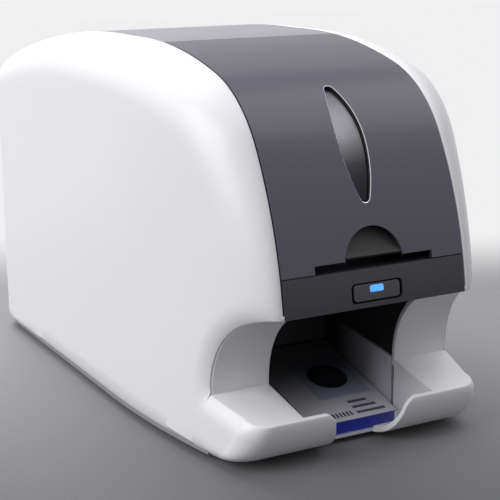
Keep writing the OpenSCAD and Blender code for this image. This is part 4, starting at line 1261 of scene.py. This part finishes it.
# Nodes whose shape stays: finish, and the width that softens their edges in millimetres.
KEPT = {
    "rubber_feet": ("rubber", 0.8), "base_screws": ("rod", 0.3), "frame_left": ("steel", 0.25),
    "frame_right": ("steel", 0.25), "tie_rods": ("rod", 0.3), "hinge_pins": ("rod", 0.4),
    "head_bracket": ("steel", 0.25), "heat_sink": ("alloy", 0.2), "print_head": ("ceramic", 0.2),
    "ribbon_frame": ("cage", 0.3), "ribbon_motor": ("dark", 0.4), "ribbon_film": ("film", 0.0),
    "supply_spool": ("film", 0.4), "takeup_spool": ("film", 0.4), "latch_lever": ("dark", 0.3),
    "button_board": ("board", 0.1), "platen_roller": ("roller", 0.4), "front_roller": ("roller", 0.4),
    "rear_roller": ("roller", 0.4), "front_pinch": ("rod", 0.4), "rear_pinch": ("rod", 0.4),
    "carriage": ("dark", 0.3), "carriage_roller": ("roller", 0.4), "carriage_pinch": ("rod", 0.4),
    "main_motor": ("dark", 0.6), "motor_pulley": ("rod", 0.3), "drive_belt": ("belt", 0.2),
    "hopper_box": ("box", 0.3), "input_cards": ("blank", 0.0), "pressure_plate": ("dark", 0.5),
    "pick_roller": ("roller", 0.5), "pick_motor": ("dark", 0.6), "main_board": ("board", 0.1),
    "usb_socket": ("steel", 0.2), "network_socket": ("steel", 0.2), "dc_inlet": ("dark", 0.3),
    "switch_frame": ("dark", 0.3), "power_rocker": ("dark", 0.4),
}


class PRINTER_OT_machine(bpy.types.Operator):
    """Feet, frames, rollers, ribbon, hopper and boards with their finishes"""
    bl_idname = "printer.machine"
    bl_label = "Machine"

    def execute(self, context):
        bodies = {n: b for b, nodes in frame["record"]["behaviour"]["bodies"].items() for n in nodes}
        slots = {s["node"]: s["material_slot"] for s in frame["record"]["subparts"]}
        for node, (finish, width) in KEPT.items():
            if width:
                dressed(node, finish, bodies[node], slots[node], width)
            else:
                obj = frame["nodes"][node]
                obj.data.materials.clear()
                obj.data.materials.append(FINISH[finish])
        return {"FINISHED"}


# The stage, in metres and watts. Lamps: name, place, width and power; each faces the printer's middle.
LAMPS = (
    ("lamp_back", (-0.1, 1.0, 1.3), 0.8, 13.0),
    ("lamp_left", (-1.6, -0.15, 0.9), 1.2, 23.0),
    ("lamp_right", (0.85, -0.3, 1.4), 1.2, 5.5),
)
LAMP_AIM = (0, 0, 0.1)
ROOM_WHITE = (0.93, 0.93, 0.94, 1.0)
ROOM_LOW, ROOM_HIGH = 0.1, 0.95
FLOOR_GLOW = (0.87, 0.87, 0.88, 1.0)
FLOOR_TURN = 0.55
# Painted shade on the table: its colour, the table's own colour, and the reach over which the shade gives
# way.
FLOOR_SHADE_COLOUR, FLOOR_PALE = "464648", "8E8E90"
FLOOR_SHADE_REACH = (-0.42, 0.12)
FLOOR_FADE = (0.20, 0.42)
FLOOR_EDGE = (0.6, 1.4)


class PRINTER_OT_stage(bpy.types.Operator):
    """Table, white room, lamps and the camera"""
    bl_idname = "printer.stage"
    bl_label = "Stage"

    def execute(self, context):
        clean_view()
        bpy.ops.mesh.primitive_grid_add(x_subdivisions=8, y_subdivisions=8, size=6)
        floor = context.object
        floor.name = floor.data.name = "table_top"
        for vertex in floor.data.vertices:
            vertex.co.z = 0.0
        # Grey laminate: matt, so it holds the printer's shadow and no mirror image; painted shade darkens it
        # towards the front left.
        mat, tree, shader, where = surface("grey_laminate", linear("828284"), 0.7)
        paint_floor_shade(tree, shader, where)
        floor.data.materials.append(mat)
        world = bpy.data.worlds.new("white_room")
        context.scene.world = world
        world.use_nodes = True
        tree = world.node_tree
        back = tree.nodes["Background"]
        back.inputs["Color"].default_value = ROOM_WHITE
        tree.links.new(sky_level(tree), back.inputs["Strength"])
        for spec in LAMPS:
            lamp(*spec)
        camera(context)
        return {"FINISHED"}


def sky_level(tree):
    """Strength of the room: white where it is seen or mirrored, and its plain light mostly from above."""
    where = tree.nodes.new("ShaderNodeTexCoord").outputs["Generated"]
    split = add(tree, "ShaderNodeSeparateXYZ", {"Vector": where})
    plain = add(tree, "ShaderNodeMapRange", {"Value": split.outputs["Z"]},
                **{"From Min": 0.1, "From Max": 0.95, "To Min": ROOM_LOW, "To Max": ROOM_HIGH})
    level = add(tree, "ShaderNodeMix", {0: looked_at(tree), 2: plain.outputs["Result"]}, data_type="FLOAT")
    level.inputs[3].default_value = ROOM_HIGH
    return level.outputs[0]


def looked_at(tree):
    """One for rays from the camera, mirror rays and rays through clear pieces, and zero for plain light."""
    path = tree.nodes.new("ShaderNodeLightPath")
    seen = path.outputs["Is Camera Ray"]
    for ray in ("Is Glossy Ray", "Is Transmission Ray"):
        seen = add(tree, "ShaderNodeMath", {0: seen, 1: path.outputs[ray]}, operation="MAXIMUM").outputs[0]
    return seen


def paint_floor_shade(tree, shader, where):
    """Painted shade makes the table darker towards the front left; it runs out into the white room behind the
    printer.
    """
    split = add(tree, "ShaderNodeSeparateXYZ", {"Vector": where})
    turn = add(tree, "ShaderNodeMath", {0: split.outputs["X"]}, operation="MULTIPLY")
    turn.inputs[1].default_value = FLOOR_TURN
    reach = add(tree, "ShaderNodeMath", {0: split.outputs["Y"], 1: turn.outputs[0]}, operation="ADD")
    away = add(tree, "ShaderNodeVectorMath", {0: where}, operation="LENGTH")
    near, blur, edge = (
        add(tree, "ShaderNodeMapRange", {"Value": value}, interpolation_type="SMOOTHSTEP",
            **{"From Min": low, "From Max": high}).outputs["Result"]
        for value, (low, high) in ((reach.outputs[0], FLOOR_SHADE_REACH), (reach.outputs[0], FLOOR_FADE),
                                   (away.outputs["Value"], FLOOR_EDGE)))
    # Painted shade: the table darkens towards the front left.
    tone = add(tree, "ShaderNodeMix", {0: near}, data_type="RGBA")
    tone.inputs[6].default_value = linear(FLOOR_SHADE_COLOUR)
    tone.inputs[7].default_value = linear(FLOOR_PALE)
    tree.links.new(tone.outputs[2], shader.inputs["Base Color"])
    glow = add(tree, "ShaderNodeEmission", Color=FLOOR_GLOW)
    out = add(tree, "ShaderNodeMath", {0: blur, 1: edge}, operation="MAXIMUM")
    far = add(tree, "ShaderNodeMath", {0: out.outputs[0], 1: looked_at(tree)}, operation="MULTIPLY")
    mix = add(tree, "ShaderNodeMixShader",
              {0: far.outputs[0], 1: shader.outputs["BSDF"], 2: glow.outputs["Emission"]})
    tree.links.new(mix.outputs["Shader"], tree.nodes["Material Output"].inputs["Surface"])


def lamp(name, spot, width, power):
    """Square soft lamp that faces the printer."""
    data = bpy.data.lights.new(name, "AREA")
    data.shape = "SQUARE"
    data.size = width
    data.energy = power
    obj = bpy.data.objects.new(name, data)
    obj.location = spot
    obj.rotation_euler = (Vector(LAMP_AIM) - Vector(spot)).to_track_quat("-Z", "Y").to_euler()
    bpy.context.scene.collection.objects.link(obj)


def camera(context):
    """Camera at the photograph's place, worked out in millimetres from the floor's middle."""
    spot = Vector((-349.4, -677.4, 261.8)) * MM
    turn, pitch, roll = 0.49956, 0.24198, -0.00648
    focal_px, frame_px, sensor = 1295.6, 500.0, 36.0
    ahead = Vector((math.sin(turn) * math.cos(pitch), math.cos(turn) * math.cos(pitch), -math.sin(pitch)))
    right = Vector((math.cos(turn), -math.sin(turn), 0))
    up = right.cross(ahead)
    right, up = (right * math.cos(roll) + up * math.sin(roll), up * math.cos(roll) - right * math.sin(roll))
    data = bpy.data.cameras.new("camera")
    data.sensor_width = sensor
    data.lens = focal_px / frame_px * sensor
    data.clip_start = 0.01
    obj = bpy.data.objects.new("camera", data)
    obj.matrix_world = Matrix((right, up, -ahead)).transposed().to_4x4()
    obj.location = spot
    context.scene.collection.objects.link(obj)
    context.scene.camera = obj


class PRINTER_PT_pieces(bpy.types.Panel):
    """Lists the printer's sizes, colours and pieces"""
    bl_idname = "PRINTER_PT_pieces"
    bl_label = "Id Card Printer"
    bl_space_type = "VIEW_3D"
    bl_region_type = "UI"
    bl_category = "Printer"

    def draw(self, context):
        layout = self.layout
        for group in (context.scene.printer_sizes, context.scene.printer_colours):
            for key in group.__annotations__:
                layout.prop(group, key)
        for operator in OPERATORS:
            layout.operator(operator.bl_idname)


OPERATORS = (PRINTER_OT_side_shells, PRINTER_OT_front_cover, PRINTER_OT_release, PRINTER_OT_front_bar,
             PRINTER_OT_rear_skin, PRINTER_OT_bay, PRINTER_OT_machine, PRINTER_OT_stage)
CLASSES = (PrinterSizes, PrinterColours) + OPERATORS + (PRINTER_PT_pieces,)


def register():
    """Registers the classes and the two groups of settings."""
    for cls in CLASSES:
        bpy.utils.register_class(cls)
    bpy.types.Scene.printer_sizes = bpy.props.PointerProperty(type=PrinterSizes)
    bpy.types.Scene.printer_colours = bpy.props.PointerProperty(type=PrinterColours)


def unregister():
    """Takes them out again."""
    del bpy.types.Scene.printer_colours
    del bpy.types.Scene.printer_sizes
    for cls in reversed(CLASSES):
        bpy.utils.unregister_class(cls)


def main():
    """Builds the pieces in order."""
    register()
    bpy.context.scene.view_settings.view_transform = "Standard"
    finishes()
    bpy.ops.printer.side_shells()
    bpy.ops.printer.front_cover()
    bpy.ops.printer.release()
    bpy.ops.printer.front_bar()
    bpy.ops.printer.rear_skin()
    bpy.ops.printer.bay()
    bpy.ops.printer.machine()
    bpy.ops.printer.stage()


if __name__ == "__main__":
    main()
